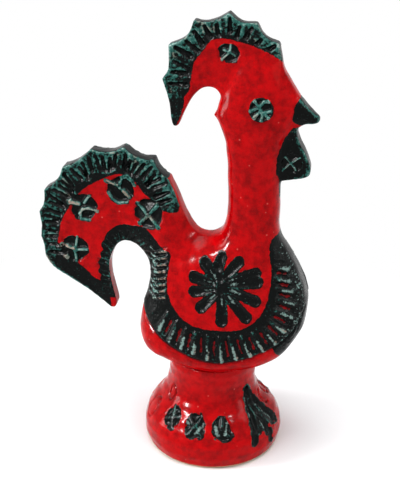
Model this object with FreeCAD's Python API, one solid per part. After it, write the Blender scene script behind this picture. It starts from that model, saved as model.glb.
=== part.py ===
"""A hand-built pottery rooster on a hollow foot, in millimetres.

The rooster looks along +X, stands on the plane Z = 0 and is alike on both sides of the plane Y = 0.
It is made as a potter makes it: a thrown foot, a pressed bowl for the belly, two pressed half
shells for breast and neck, a head slab with its crest hook, a frilled comb, a scalloped tail slab,
a beak, a wattle and a stamped eye on each cheek, all luted together and fired. The pieces are
modelled about the foot's own axis and moved at the end, so that the origin lies on the ground
under the middle of the overall length.
"""

import FreeCAD
import Part

import math
import os

from FreeCAD import Vector

# Heights of the main forms, one on top of the other
foot_height = 54.0
body_height = 80.0
neck_height = 63.5
head_height = 52.5

# The foot, a hollow spool that is open below
foot_rim_radius = 37.2
foot_bulge_radius = 39.6
foot_waist_radius = 24.7
foot_wall = 6.0

# The belly and the breast, one hollow form of two half shells on a bowl
body_back = 42.2
body_front = 51.7
body_width = 56.0
shell_wall = 5.5
bowl_floor = 6.0
bowl_vent_radius = 7.0
bowl_rim_level = 11.0
bowl_rim_rise = 47.0
bowl_rim_step = 0.8

# The neck
neck_centre = 20.6
neck_length = 28.0
neck_width = 25.0

# The head slab with its crest hook, and the swelling of the cheeks
crest_length = 63.0
crest_thickness = 8.0
crest_bevel = 1.2
cheek_width = 23.0

# The tail, a flat slab with a scalloped edge
tail_reach = 99.3
tail_height = 100.4
tail_drop = 57.5
tail_thickness = 9.0
tail_bevel = 1.2
tail_tip_radius = 3.0
tail_tip_turn_degrees = 110.0

# Beak and wattle
beak_length = 15.0
beak_root_height = 15.0
beak_root_width = 12.0
beak_tip_height = 4.0
beak_tip_width = 4.5
beak_drop = 2.4
wattle_length = 22.8
wattle_height = 31.5
wattle_thickness = 9.0
wattle_bevel = 1.2

# Eyes, stamped pellets that are set into the cheeks
eye_radius = 6.2
eye_depth = 2.6
eye_proud = 0.8
eye_lean_degrees = 7.0

# The frills of tail and comb: hollow scallops, and grooves pressed in from both sides
scallop_depth_share = 0.085
grooves_per_scallop = 2
groove_radius = 1.9
groove_depth = 1.0
groove_margin = 2.5
tail_groove_length = 12.0
comb_groove_length = 9.0

# The stamps: round dents that leave raised arms standing
stamp_depth = 1.0
stamp_arm_width = 1.8
stamp_arm_count = 2
tail_stamp_radius = 8.0
crest_stamp_radius = 5.5
wattle_stamp_radius = 5.5
eye_stamp_radius = 4.8
eye_arm_count = 3

# The rosette and the ribbed border, pressed into each side of the body with round-tipped tools
petal_count = 11
petal_radius = 3.9
petal_depth = 1.1
petal_start = 5.0
petal_length = 13.0
petal_first_degrees = 94.0
border_groove_count = 23
border_groove_radius = 1.6
border_groove_depth = 0.9
border_groove_length = 8.5
border_groove_margin = 4.0
border_start_share = 0.18
border_end_share = 0.88

# One overrun serves every cut that has to pass right through
overrun = 20.0

# Levels and places that follow from the sizes above
shoulder_level = foot_height + body_height
jaw_level = shoulder_level + neck_height
neck_front = neck_centre + neck_length / 2
tail_tip_level = shoulder_level - tail_drop

# Points round each cross-section, and how square its corners are: 2 is an ellipse
section_points = 16
body_squareness = 2.4
waist_squareness = 2.0

# The foot's profile: share of the way from the waist's radius to the bulge's, and of its height
foot_profile_shares = [
    (0.93, 0.055),
    (1.0, 0.165),
    (0.96, 0.26),
    (0.84, 0.35),
    (0.62, 0.445),
    (0.39, 0.535),
    (0.175, 0.63),
    (0.035, 0.72),
    (0.0, 0.82),
]

# The body's sections: share of its height, of its reach back and front, and of its width
body_section_shares = [
    (0.025, -0.74, 0.58, 0.955),
    (0.056, -0.87, 0.68, 0.99),
    (0.10, -0.955, 0.78, 1.0),
    (0.163, -1.0, 0.865, 0.99),
    (0.238, -1.0, 0.92, 0.955),
    (0.325, -0.975, 0.965, 0.905),
    (0.413, -0.94, 0.99, 0.855),
    (0.506, -0.90, 1.0, 0.805),
    (0.625, -0.88, 0.975, 0.74),
    (0.725, -0.90, 0.91, 0.68),
    (0.813, -0.91, 0.84, 0.62),
    (0.888, -0.74, 0.765, 0.57),
    (0.95, -0.38, 0.705, 0.525),
]

# The neck's sections: share of its height, of its length behind and before its centre, of its width
neck_section_shares = [
    (0.0, -0.66, 0.51, 1.08),
    (0.06, -0.545, 0.5, 1.04),
    (0.16, -0.505, 0.495, 1.01),
    (0.33, -0.5, 0.5, 1.0),
    (0.6, -0.5, 0.5, 1.0),
    (0.78, -0.54, 0.52, 0.99),
    (0.89, -0.63, 0.61, 0.96),
    (1.0, -0.735, 0.74, 0.92),
]

# The cheeks' sections over the jaw: share of the head's height, of the neck's length about its
# centre, and of the cheeks' width
cheek_section_shares = [
    (0.12, -0.66, 0.80, 0.97),
    (0.27, -0.62, 0.70, 0.83),
    (0.43, -0.58, 0.53, 0.60),
    (0.58, -0.50, 0.36, 0.33),
]

# The bowl's rim seen from the side: share of the reach back or front, and of the rim's rise
rim_shares = [
    (-1.16, 1.0),
    (-0.86, 0.49),
    (-0.5, 0.2),
    (0.13, 0.0),
    (0.5, 0.09),
    (0.79, 0.28),
    (0.93, 0.52),
    (1.06, 1.0),
]

# The crest seen from the side: share of its length from its back end, and of the head's height
comb_tip_shares = [
    (0.0, 0.301),
    (0.054, 0.644),
    (0.275, 0.92),
    (0.556, 1.0),
    (0.771, 0.912),
    (0.951, 0.73),
    (1.0, 0.505),
]
hook_outside_shares = [
    (0.085, -0.122),
    (0.056, 0.006),
    (0.042, 0.139),
]
hook_tip_share = (0.117, -0.170)
hook_inside_shares = [
    (0.156, -0.105),
    (0.229, 0.093),
    (0.286, 0.202),
    (0.343, 0.267),
    (0.4, 0.288),
    (0.459, 0.27),
    (0.498, 0.208),
    (0.503, 0.139),
    (0.479, 0.067),
]
face_shares = [
    (1.054, 0.381),
    (1.117, 0.248),
    (1.143, 0.124),
]
comb_seam_shares = [
    (1.06, 0.47),
    (0.935, 0.577),
    (0.767, 0.678),
    (0.583, 0.735),
    (0.437, 0.735),
    (0.335, 0.598),
    (0.283, 0.448),
    (0.262, 0.318),
    (0.237, 0.19),
    (0.192, 0.104),
    (0.15, -0.03),
    (0.13, -0.1),
]
comb_focus_share = (0.58, 0.31)
crest_stamp_share = (0.568, 0.638)
eye_share = (0.841, 0.130)

# The tail seen from the side: share of its reach behind the foot's axis, and of its height
tail_top_shares = [
    (0.0, 0.513),
    (0.046, 0.548),
    (0.092, 0.559),
    (0.131, 0.596),
    (0.185, 0.688),
    (0.211, 0.762),
]
tail_tip_shares = [
    (0.936, 0.239),
    (0.984, 0.294),
    (1.0, 0.414),
    (1.0, 0.563),
    (0.965, 0.693),
    (0.854, 0.833),
    (0.672, 0.977),
    (0.492, 1.0),
    (0.329, 0.934),
    (0.244, 0.842),
]
tail_tip_start_share = (0.624, 0.011)
tail_arch_shares = [
    (0.579, 0.141),
    (0.602, 0.232),
    (0.607, 0.316),
    (0.588, 0.374),
    (0.539, 0.436),
    (0.488, 0.454),
    (0.433, 0.427),
    (0.379, 0.341),
    (0.302, 0.274),
]
tail_focus_share = (0.6, 0.5)
tail_stamp_shares = [
    (0.788, 0.375),
    (0.723, 0.639),
    (0.517, 0.76),
    (0.353, 0.626),
]

# The beak's sections: share of its length before the face, and of the way from tip size to root size
beak_section_shares = [
    (-0.35, 1.0),
    (0.0, 0.82),
    (0.4, 0.42),
    (0.65, 0.0),
]

# The wattle seen from the side: share of its length from its root, and of its height. The root lies
# behind the neck's front, and the top reaches up under the beak.
wattle_root_share = 0.29
wattle_top_share = 1.12
wattle_back_shares = [(0.0, 0.0), (0.0, 0.98), (0.55, 1.02)]
wattle_front_shares = [
    (0.62, 0.9),
    (0.70, 0.76),
    (0.82, 0.59),
    (0.90, 0.42),
    (0.98, 0.22),
]
wattle_bottom_shares = [
    (1.0, 0.12),
    (0.88, 0.05),
    (0.57, 0.0),
    (0.28, -0.02),
]
wattle_stamp_share = (0.66, 0.29)

# The rosette's centre: share of the body's front reach, and of its height
rosette_share = (0.157, 0.66)


def smooth(points, first_direction=None):
    """An open curve through the points, which may set out in a given direction."""
    curve = Part.BSplineCurve()
    if first_direction is None:
        curve.interpolate(points)
    else:
        reach = (points[1] - points[0]).Length
        last_direction = points[-1] - points[-2]
        curve.interpolate(Points=points, InitialTangent=first_direction * reach, FinalTangent=last_direction)
    return curve.toShape()


def line(start, end):
    """A straight edge."""
    return Part.LineSegment(start, end).toShape()


def turned(start, direction, radius, degrees):
    """An arc seen from -Y that goes on from a straight run and turns left, and its last direction."""
    ahead = Vector(direction).normalize()
    left = Vector(-ahead.z, 0, ahead.x)
    points = []
    for part in (0.5, 1):
        angle = math.radians(degrees * part)
        points.append(start + ahead * (radius * math.sin(angle)) + left * (radius * (1 - math.cos(angle))))
    onward = ahead * math.cos(angle) + left * math.sin(angle)
    return Part.Arc(start, points[0], points[1]).toShape(), onward


def prism(edges, thickness):
    """A flat slab with the outline that the edges close, half on each side of the plane Y = 0."""
    face = Part.Face(Part.Wire(Part.__sortEdges__(edges)))
    solid = face.extrude(Vector(0, thickness, 0))
    solid.translate(Vector(0, -thickness / 2, 0))
    return solid


def bevelled(solid, thickness, bevel):
    """The slab with the edges of both its flat faces bevelled."""
    rims = []
    for edge in solid.Edges:
        box = edge.BoundBox
        if box.YLength < bevel / 10 and abs(abs(box.YMin) - thickness / 2) < bevel / 10:
            rims.append(edge)
    return solid.makeChamfer(bevel, rims)


def scallop(start, end):
    """A hollow arc between two points of a frill, which runs with the solid on its right."""
    chord = end - start
    middle = (start + end) / 2
    inward = Vector(chord.z, 0, -chord.x)
    return Part.Arc(start, middle + inward * scallop_depth_share, end).toShape()


def frill(tips):
    """The hollow arcs of a frill from tip to tip."""
    return [scallop(start, end) for start, end in zip(tips, tips[1:])]


def frill_grooves(tips, focus, length, thickness):
    """Grooves on both faces of a slab, from its scalloped edge towards the focus."""
    grooves = []
    for start, end in zip(tips, tips[1:]):
        for index in range(grooves_per_scallop):
            outer = start + (end - start) * ((index + 0.5) / grooves_per_scallop)
            inward = (focus - outer).normalize()
            root = outer + inward * (groove_margin + scallop_depth_share * (end - start).Length)
            for side in (-1, 1):
                axis = Vector(root.x, side * (thickness / 2 + groove_radius - groove_depth), root.z)
                grooves.append(Part.makeCylinder(groove_radius, length, axis, inward))
    return grooves


def stamp(centre, radius, arm_count, first_degrees=45):
    """A round stamp's dents at a place on the plane Y = 0, without depth: the arms stay standing."""
    normal = Vector(0, -1, 0)
    disc = Part.Face(Part.Wire(Part.Circle(centre, normal, radius).toShape()))
    for index in range(arm_count):
        half = stamp_arm_width / 2
        reach = radius + half
        corners = []
        for along, across in ((-reach, -half), (reach, -half), (reach, half), (-reach, half)):
            corners.append(Vector(along, 0, across))
        arm = Part.Face(Part.makePolygon(corners + corners[:1]))
        arm.rotate(Vector(0, 0, 0), normal, first_degrees + 180 * index / arm_count)
        arm.translate(centre)
        disc = disc.cut(arm)
    return disc


def slab_stamp(centre, radius, thickness, first_degrees=45):
    """The dents of one stamp on both faces of a slab."""
    dents = []
    for side in (-1, 1):
        face = stamp(centre, radius, stamp_arm_count, first_degrees)
        face.translate(Vector(0, side * (thickness / 2 - stamp_depth), 0))
        dents.append(face.extrude(Vector(0, side * (stamp_depth + overrun), 0)))
    return dents


def groove(start, end, radius):
    """A straight groove's tool: a rod with round ends."""
    along = end - start
    rod = Part.makeCylinder(radius, along.Length, start, along)
    return rod.fuse([Part.makeSphere(radius, start), Part.makeSphere(radius, end)])


def oval(back, front, half_width, level, squareness):
    """A closed level curve between two ends, squarer than an ellipse where squareness is over 2."""
    centre = (back + front) / 2
    half_length = (front - back) / 2
    points = []
    for step in range(section_points):
        angle = 2 * math.pi * step / section_points
        along = math.copysign(abs(math.cos(angle)) ** (2 / squareness), math.cos(angle))
        across = math.copysign(abs(math.sin(angle)) ** (2 / squareness), math.sin(angle))
        points.append(Vector(centre + half_length * along, half_width * across, level))
    curve = Part.BSplineCurve()
    curve.interpolate(Points=points, PeriodicFlag=True)
    return Part.Wire(curve.toShape())


def body_rows():
    """Level, back, front, half width and squareness of each section from the waist to the jaw."""
    waist = foot_waist_radius
    rows = [(foot_height, -waist, waist, waist, waist_squareness)]
    for up, back, front, wide in body_section_shares:
        level = foot_height + up * body_height
        rows.append((level, back * body_back, front * body_front, wide * body_width / 2, body_squareness))
    for up, back, front, wide in neck_section_shares:
        level = shoulder_level + up * neck_height
        start = neck_centre + back * neck_length
        end = neck_centre + front * neck_length
        rows.append((level, start, end, wide * neck_width / 2, body_squareness))
    return rows


def body_form(inset):
    """Belly, breast and neck as one solid, drawn in by inset all round but not at its ends."""
    wires = []
    for level, back, front, half_width, squareness in body_rows():
        wires.append(oval(back + inset, front - inset, half_width - inset, level, squareness))
    return Part.makeLoft(wires, True, False)


def body_cavity():
    """The hollow in the body, a wall's thickness in from the sides and below the shoulder."""
    floor_level = foot_height + bowl_floor
    wires = []
    for level, back, front, half_width, squareness in body_rows():
        if level < floor_level:
            continue
        lowered = level - shell_wall * min(1, (level - foot_height) / bowl_rim_rise)
        lowered = max(lowered, floor_level)
        inner = half_width - shell_wall
        wires.append(oval(back + shell_wall, front - shell_wall, inner, lowered, squareness))
    return Part.makeLoft(wires, True, False)


def rim_points():
    """Points of the bowl's rim seen from the side, from the tail to the breast."""
    points = []
    for along, up in rim_shares:
        reach = body_back if along < 0 else body_front
        points.append(Vector(along * reach, 0, foot_height + bowl_rim_level + up * bowl_rim_rise))
    return points


def below_rim():
    """Everything under the bowl's rim."""
    points = rim_points()
    corner_back = Vector(points[0].x, 0, 0)
    corner_front = Vector(points[-1].x, 0, 0)
    edges = [
        smooth(points),
        line(points[-1], corner_front),
        line(corner_front, corner_back),
        line(corner_back, points[0]),
    ]
    return prism(edges, body_width + overrun)


def body_half_width(x, z):
    """Half the half shells' width at a place seen from the side."""
    rows = body_rows()
    for low, high in zip(rows, rows[1:]):
        if low[0] <= z <= high[0]:
            part = (z - low[0]) / (high[0] - low[0])
            back, front, half_width = (low[i] + part * (high[i] - low[i]) for i in (1, 2, 3))
            off = abs(2 * x - back - front) / (front - back - 2 * bowl_rim_step)
            return (half_width - bowl_rim_step) * (1 - off ** body_squareness) ** (1 / body_squareness)
    raise ValueError("no body at this level")


def pressed(start, end, radius, depth):
    """A groove pressed into the body's right side between two places seen from the side."""
    for point in (start, end):
        point.y = -(body_half_width(point.x, point.z) + radius - depth)
    return groove(start, end, radius)


def body_grooves():
    """The grooves of the rosette and of the border on the body's right side."""
    centre = Vector(rosette_share[0] * body_front, 0, foot_height + rosette_share[1] * body_height)
    grooves = []
    for index in range(petal_count):
        angle = math.radians(petal_first_degrees - 360 * index / petal_count)
        outward = Vector(math.cos(angle), 0, math.sin(angle))
        start = centre + outward * petal_start
        grooves.append(pressed(start, start + outward * petal_length, petal_radius, petal_depth))
    rim = smooth(rim_points())
    for index in range(border_groove_count):
        part = index / (border_groove_count - 1)
        share = border_start_share + (border_end_share - border_start_share) * part
        edge_point = rim.valueAt(rim.getParameterByLength(share * rim.Length))
        inward = (centre - edge_point).normalize()
        start = edge_point + inward * border_groove_margin
        end = start + inward * border_groove_length
        grooves.append(pressed(start, end, border_groove_radius, border_groove_depth))
    return grooves


def make_body():
    """The form of the half shells without their hollow, the bowl, and the shells with their marks."""
    outer = body_form(0)
    shell_form = body_form(bowl_rim_step)
    cavity = body_cavity()
    under = below_rim()
    vent = Part.makeCylinder(bowl_vent_radius, foot_height + overrun)
    bowl = outer.common(under).cut(cavity).cut(vent)
    shells = shell_form.cut(under).cut(cavity)
    reach = tail_reach + body_front
    half = Part.makeBox(2 * reach, body_width, jaw_level + overrun, Vector(-reach, -body_width, 0))
    right = shells.common(half).cut(body_grooves())
    left = right.mirror(Vector(0, 0, 0), Vector(0, 1, 0))
    return shell_form, bowl, right, left


def foot_form(inset):
    """The foot as a solid of revolution, drawn in by inset."""
    swell = foot_bulge_radius - foot_waist_radius
    points = [Vector(foot_rim_radius - inset, 0, 0)]
    for out, up in foot_profile_shares:
        points.append(Vector(foot_waist_radius + out * swell - inset, 0, up * foot_height))
    points.append(Vector(foot_waist_radius - inset, 0, foot_height))
    top = Vector(0, 0, foot_height)
    base = Vector(0, 0, 0)
    edges = [smooth(points), line(points[-1], top), line(top, base), line(base, points[0])]
    return Part.Face(Part.Wire(edges)).revolve(base, Vector(0, 0, 1), 360)


def make_foot():
    """The hollow foot, open below and at the waist."""
    return foot_form(0).cut(foot_form(foot_wall))


def head_point(share):
    """A point on the crest from its shares of the crest's length and of the head's height."""
    along, up = share
    return Vector(neck_front - crest_length * (1 - along), 0, jaw_level + up * head_height)


def crest_slab():
    """Head and comb in one flat slab with bevelled edges."""
    tips = [head_point(share) for share in comb_tip_shares]
    outside = [head_point(share) for share in hook_outside_shares]
    inside = [head_point(share) for share in hook_inside_shares]
    jaw = body_rows()[-1]
    jaw_back = Vector(jaw[1], 0, jaw_level)
    jaw_front = Vector(jaw[2], 0, jaw_level)
    face = [head_point(share) for share in face_shares]
    edges = frill(tips) + [
        smooth(outside + tips[:1]),
        Part.Arc(inside[0], head_point(hook_tip_share), outside[0]).toShape(),
        smooth([jaw_back] + inside[::-1]),
        smooth(tips[-1:] + face + [jaw_front]),
        line(jaw_front, jaw_back),
    ]
    return bevelled(prism(edges, crest_thickness), crest_thickness, crest_bevel)


def cheeks():
    """The swelling of the head over the neck, as wide at the jaw as the neck is."""
    jaw = body_rows()[-1]
    wires = [oval(jaw[1], jaw[2], jaw[3], jaw_level, body_squareness)]
    for up, back, front, wide in cheek_section_shares:
        start = neck_centre + back * neck_length
        end = neck_centre + front * neck_length
        level = jaw_level + up * head_height
        wires.append(oval(start, end, wide * cheek_width / 2, level, body_squareness))
    return Part.makeLoft(wires, True, False)


def above_seam():
    """Everything beyond the seam between the head and the comb."""
    seam = [head_point(share) for share in comb_seam_shares]
    far = overrun + head_height
    corner_front = Vector(seam[0].x + overrun, 0, seam[0].z)
    top_front = Vector(corner_front.x, 0, jaw_level + far)
    top_back = Vector(neck_front - crest_length - overrun, 0, top_front.z)
    low_back = Vector(top_back.x, 0, seam[-1].z - overrun)
    low_front = Vector(seam[-1].x, 0, low_back.z)
    edges = [
        smooth(seam),
        line(seam[-1], low_front),
        line(low_front, low_back),
        line(low_back, top_back),
        line(top_back, top_front),
        line(top_front, corner_front),
        line(corner_front, seam[0]),
    ]
    return prism(edges, crest_thickness + overrun)


def eye_pellet(side, radius, depth):
    """A disc on one cheek, leaning with it, from under the surface to just over it."""
    centre = head_point(eye_share)
    jaw = body_rows()[-1]
    surface = Vector(centre.x, side * jaw[3], centre.z)
    outward = Vector(0, side, 0)
    disc = Part.makeCylinder(radius, depth, surface + outward * (eye_proud - depth), outward)
    disc.rotate(surface, Vector(1, 0, 0), side * eye_lean_degrees)
    return disc


def make_eye(side):
    """One eye: a pellet with a stamped star."""
    centre = head_point(eye_share)
    jaw = body_rows()[-1]
    dents = stamp(centre, eye_stamp_radius, eye_arm_count)
    dents.translate(Vector(0, side * (jaw[3] + eye_proud - stamp_depth), 0))
    dents = dents.extrude(Vector(0, side * overrun, 0))
    dents.rotate(Vector(centre.x, side * jaw[3], centre.z), Vector(1, 0, 0), side * eye_lean_degrees)
    return eye_pellet(side, eye_radius, eye_depth).cut(dents)


def make_head_and_comb():
    """The head slab with cheeks and eye sockets, and the grooved comb round it."""
    slab = crest_slab()
    beyond = above_seam()
    tips = [head_point(share) for share in comb_tip_shares]
    focus = head_point(comb_focus_share)
    comb = slab.common(beyond)
    comb = comb.cut(frill_grooves(tips, focus, comb_groove_length, crest_thickness))
    sockets = [eye_pellet(side, eye_radius, eye_depth) for side in (-1, 1)]
    dents = slab_stamp(head_point(crest_stamp_share), crest_stamp_radius, crest_thickness)
    head = slab.fuse(cheeks()).cut(beyond).cut(sockets + dents)
    return head, comb


def tail_point(share):
    """A point on the tail from its shares of the tail's reach and height."""
    back, up = share
    return Vector(-tail_reach * back, 0, tail_tip_level + up * tail_height)


def make_tail(body):
    """The tail slab with its arch, grooves and stamps, cut to the body that it is luted to."""
    tips = [tail_point(share) for share in tail_tip_shares]
    top = [tail_point(share) for share in tail_top_shares]
    arch = [tail_point(share) for share in tail_arch_shares]
    tip_start = tail_point(tail_tip_start_share)
    tip_arc, onward = turned(tip_start, tip_start - tips[0], tail_tip_radius, tail_tip_turn_degrees)
    edges = frill(tips) + [
        smooth(top + tips[-1:]),
        line(tips[0], tip_start),
        tip_arc,
        smooth([tip_arc.Vertexes[-1].Point] + arch, onward),
        line(arch[-1], top[0]),
    ]
    slab = bevelled(prism(edges, tail_thickness), tail_thickness, tail_bevel)
    dents = frill_grooves(tips, tail_point(tail_focus_share), tail_groove_length, tail_thickness)
    for share in tail_stamp_shares:
        dents += slab_stamp(tail_point(share), tail_stamp_radius, tail_thickness)
    return slab.cut(body).cut(dents)


def make_beak(head, body):
    """The beak, a blunt wedge of clay on the front of the head."""
    face = head_point(face_shares[-1])
    wires = []
    for along, wide in beak_section_shares:
        half_width = (beak_tip_width + wide * (beak_root_width - beak_tip_width)) / 2
        half_height = (beak_tip_height + wide * (beak_root_height - beak_tip_height)) / 2
        middle = jaw_level - beak_drop + half_height
        wire = oval(-half_height, half_height, half_width, 0, waist_squareness)
        wire.rotate(Vector(0, 0, 0), Vector(0, 1, 0), -90)
        wire.translate(Vector(face.x + along * beak_length, 0, middle))
        wires.append(wire)
    return Part.makeLoft(wires, True, False).cut(head).cut(body)


def wattle_point(share):
    """A point on the wattle from its shares of the wattle's length and height."""
    along, up = share
    x = neck_front + wattle_length * (along - wattle_root_share)
    return Vector(x, 0, jaw_level + wattle_height * (up - wattle_top_share))


def make_wattle(head, body, beak):
    """The stamped lobe under the beak, on the front of the neck."""
    low_back, top_back, top_front = [wattle_point(share) for share in wattle_back_shares]
    front = [wattle_point(share) for share in wattle_front_shares]
    bottom = [wattle_point(share) for share in wattle_bottom_shares]
    edges = [
        line(top_back, top_front),
        smooth([top_front] + front + bottom[:1]),
        smooth(bottom),
        line(bottom[-1], low_back),
        line(low_back, top_back),
    ]
    slab = bevelled(prism(edges, wattle_thickness), wattle_thickness, wattle_bevel)
    dents = slab_stamp(wattle_point(wattle_stamp_share), wattle_stamp_radius, wattle_thickness)
    return slab.cut(body).cut(head).cut(beak).cut(dents)


def build():
    """All the pieces in the foot's own frame, by name."""
    body, bowl, right, left = make_body()
    head, comb = make_head_and_comb()
    beak = make_beak(head, body)
    return {
        "foot": make_foot(),
        "belly_bowl": bowl,
        "side_right": right,
        "side_left": left,
        "tail": make_tail(body),
        "head": head,
        "comb": comb,
        "beak": beak,
        "wattle": make_wattle(head, body, beak),
        "eye_right": make_eye(-1),
        "eye_left": make_eye(1),
    }


pieces = build()
whole = Part.makeCompound(list(pieces.values())).optimalBoundingBox()
shift = Vector(-(whole.XMin + whole.XMax) / 2, 0, 0)
os.makedirs("parts", exist_ok=True)
for name, piece in pieces.items():
    piece.translate(shift)
    print(name, piece.isValid(), len(piece.Solids), round(piece.Volume), len(piece.Faces))
    piece.exportStep(f"parts/{name}.step")
print("size", whole.XLength, whole.YLength, whole.ZLength, "shift", shift.x)
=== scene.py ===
"""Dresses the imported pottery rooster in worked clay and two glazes, on a pale floor under soft lamps.

Sizes are in millimetres about the foot's own axis, and go into the meshes in the frame's metres.
"""

import logging
import math
from dataclasses import dataclass, field
from enum import Enum

import bmesh
import bpy
import numpy as np
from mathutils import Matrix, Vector, kdtree


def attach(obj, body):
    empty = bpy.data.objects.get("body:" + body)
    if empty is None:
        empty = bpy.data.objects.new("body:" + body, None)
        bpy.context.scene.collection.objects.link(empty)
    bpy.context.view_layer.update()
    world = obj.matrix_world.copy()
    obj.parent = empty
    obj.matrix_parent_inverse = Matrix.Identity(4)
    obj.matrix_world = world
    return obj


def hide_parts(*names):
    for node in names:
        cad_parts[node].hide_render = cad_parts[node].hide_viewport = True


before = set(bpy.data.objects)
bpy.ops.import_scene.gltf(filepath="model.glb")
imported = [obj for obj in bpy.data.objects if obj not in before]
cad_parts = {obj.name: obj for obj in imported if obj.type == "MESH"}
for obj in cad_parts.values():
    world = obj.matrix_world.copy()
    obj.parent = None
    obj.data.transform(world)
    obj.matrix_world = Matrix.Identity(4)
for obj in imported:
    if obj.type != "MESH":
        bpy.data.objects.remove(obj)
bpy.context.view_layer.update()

log = logging.getLogger("rooster")

MM = 0.001
FOOT_AXIS_X = 22.97
PRESS_SEED = 11
FAN_REACH = 15.0
FAR_OUT = -50.0
NO_MARK = -5.0
FIGURE_MARKS = ("black", "pale", "buff", "ridge", "swell")
SPARE_MARKS = ("bare", "pale", "buff")
SMOOTH_DEGREES = 62.0
FRESH_BELOW = 0.999

# A place is seen from the side, and a point is in space
Place = tuple[float, float]
Point = tuple[float, float, float]
Line = tuple[Place, ...]
Colour = tuple[float, float, float]
Grain = tuple[float, float, float]
Socket = bpy.types.NodeSocket
Value = Socket | float | Colour


class Slot(Enum):
    """The record's two finishes."""

    RED = "red_glaze"
    BLACK = "black_green_glaze"


class Cut(Enum):
    """What a cutter leaves of a piece of clay."""

    INSIDE = "INTERSECT"
    OUTSIDE = "DIFFERENCE"


def flowing(points: Line, step: float = 0.8) -> np.ndarray:
    """Lays a smooth line through points.

    Args:
        points: The places that the line goes through.
        step: The distance between the new points, in mm.

    Returns:
        The new points, one row each.
    """
    knots = np.array(points, float)
    chord = np.linalg.norm(np.diff(knots, axis=0), axis=1)
    run = np.concatenate([[0.0], np.cumsum(chord)])
    if len(knots) == 2:
        slope = np.repeat((knots[1:] - knots[:1]) / chord[0], 2, axis=0)
    else:
        slope = np.gradient(knots, run, axis=0)
    along = np.linspace(0, run[-1], max(2, int(round(run[-1] / step))) + 1)
    first = np.clip(np.searchsorted(run, along, side="right") - 1, 0, len(chord) - 1)
    gap = chord[first][:, None]
    part = ((along - run[first]) / chord[first])[:, None]
    square, cube = part ** 2, part ** 3
    start = (2 * cube - 3 * square + 1) * knots[first] + (cube - 2 * square + part) * gap * slope[first]
    end = (3 * square - 2 * cube) * knots[first + 1] + (cube - square) * gap * slope[first + 1]
    return start + end


def outline(runs: tuple[Line, ...], step: float = 0.8) -> np.ndarray:
    """Joins smooth runs into one outline that keeps a corner where two runs meet.

    Args:
        runs: The runs in order, each starting where the last one ends.
        step: The distance between the new points, in mm.

    Returns:
        The outline's points, without the last one where it closes.
    """
    rows = [flowing(run, step)[:-1] for run in runs]
    return np.concatenate(rows)


def ease(value: np.ndarray, low: float, high: float) -> np.ndarray:
    """Rises smoothly from 0 at low to 1 at high."""
    part = np.clip((value - low) / (high - low), 0, 1)
    return part * part * (3 - 2 * part)


def to_line(x: np.ndarray, z: np.ndarray, path: np.ndarray) -> tuple[np.ndarray, np.ndarray]:
    """Measures places against a line of short stretches.

    Args:
        x: The places' distances along the rooster.
        z: Their heights.
        path: The line's points.

    Returns:
        The distance to the line, and how far along the line its nearest point is.
    """
    nearest = np.full(len(x), 1e9)
    along = np.zeros(len(x))
    run = 0.0
    for (ax, az), (bx, bz) in zip(path[:-1], path[1:]):
        dx, dz = bx - ax, bz - az
        length = math.hypot(dx, dz)
        part = np.clip(((x - ax) * dx + (z - az) * dz) / (length * length), 0, 1)
        gap = (x - ax - part * dx) ** 2 + (z - az - part * dz) ** 2
        closer = gap < nearest
        nearest[closer] = gap[closer]
        along[closer] = run + part[closer] * length
        run += length
    return np.sqrt(nearest), along


def inside_by(x: np.ndarray, z: np.ndarray, closed: np.ndarray) -> np.ndarray:
    """Tells how deep places lie inside a closed outline.

    Args:
        x: The places' distances along the rooster.
        z: Their heights.
        closed: The outline's points.

    Returns:
        The depth in mm, negative outside the outline.
    """
    ring = np.concatenate([closed, closed[:1]])
    gap, _ = to_line(x, z, ring)
    within = np.zeros(len(x), bool)
    for (ax, az), (bx, bz) in zip(ring[:-1], ring[1:]):
        if az == bz:
            continue
        crosses = (z < az) != (z < bz)
        within ^= crosses & (x < ax + (z - az) * (bx - ax) / (bz - az))
    return np.where(within, gap, -gap)


@dataclass(frozen=True)
class Unevenness:
    """Soft swells that hand-worked clay has, as a sum of seeded waves."""

    seed: int
    wavelength: float
    height: float = 1.0
    waves: int = 28

    def at(self, place: np.ndarray) -> np.ndarray:
        """Gives the swell at places.

        Args:
            place: The places, one row each.

        Returns:
            The swell at each place, mostly less than the height either way.
        """
        chance = np.random.default_rng(self.seed)
        total = np.zeros(len(place))
        for _ in range(self.waves):
            way = chance.normal(size=3)
            way /= np.linalg.norm(way)
            length = self.wavelength * chance.uniform(0.6, 1.7)
            total += np.cos(place @ way * (2 * math.pi / length) + chance.uniform(0, 2 * math.pi))
        return total / math.sqrt(self.waves) * self.height


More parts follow.
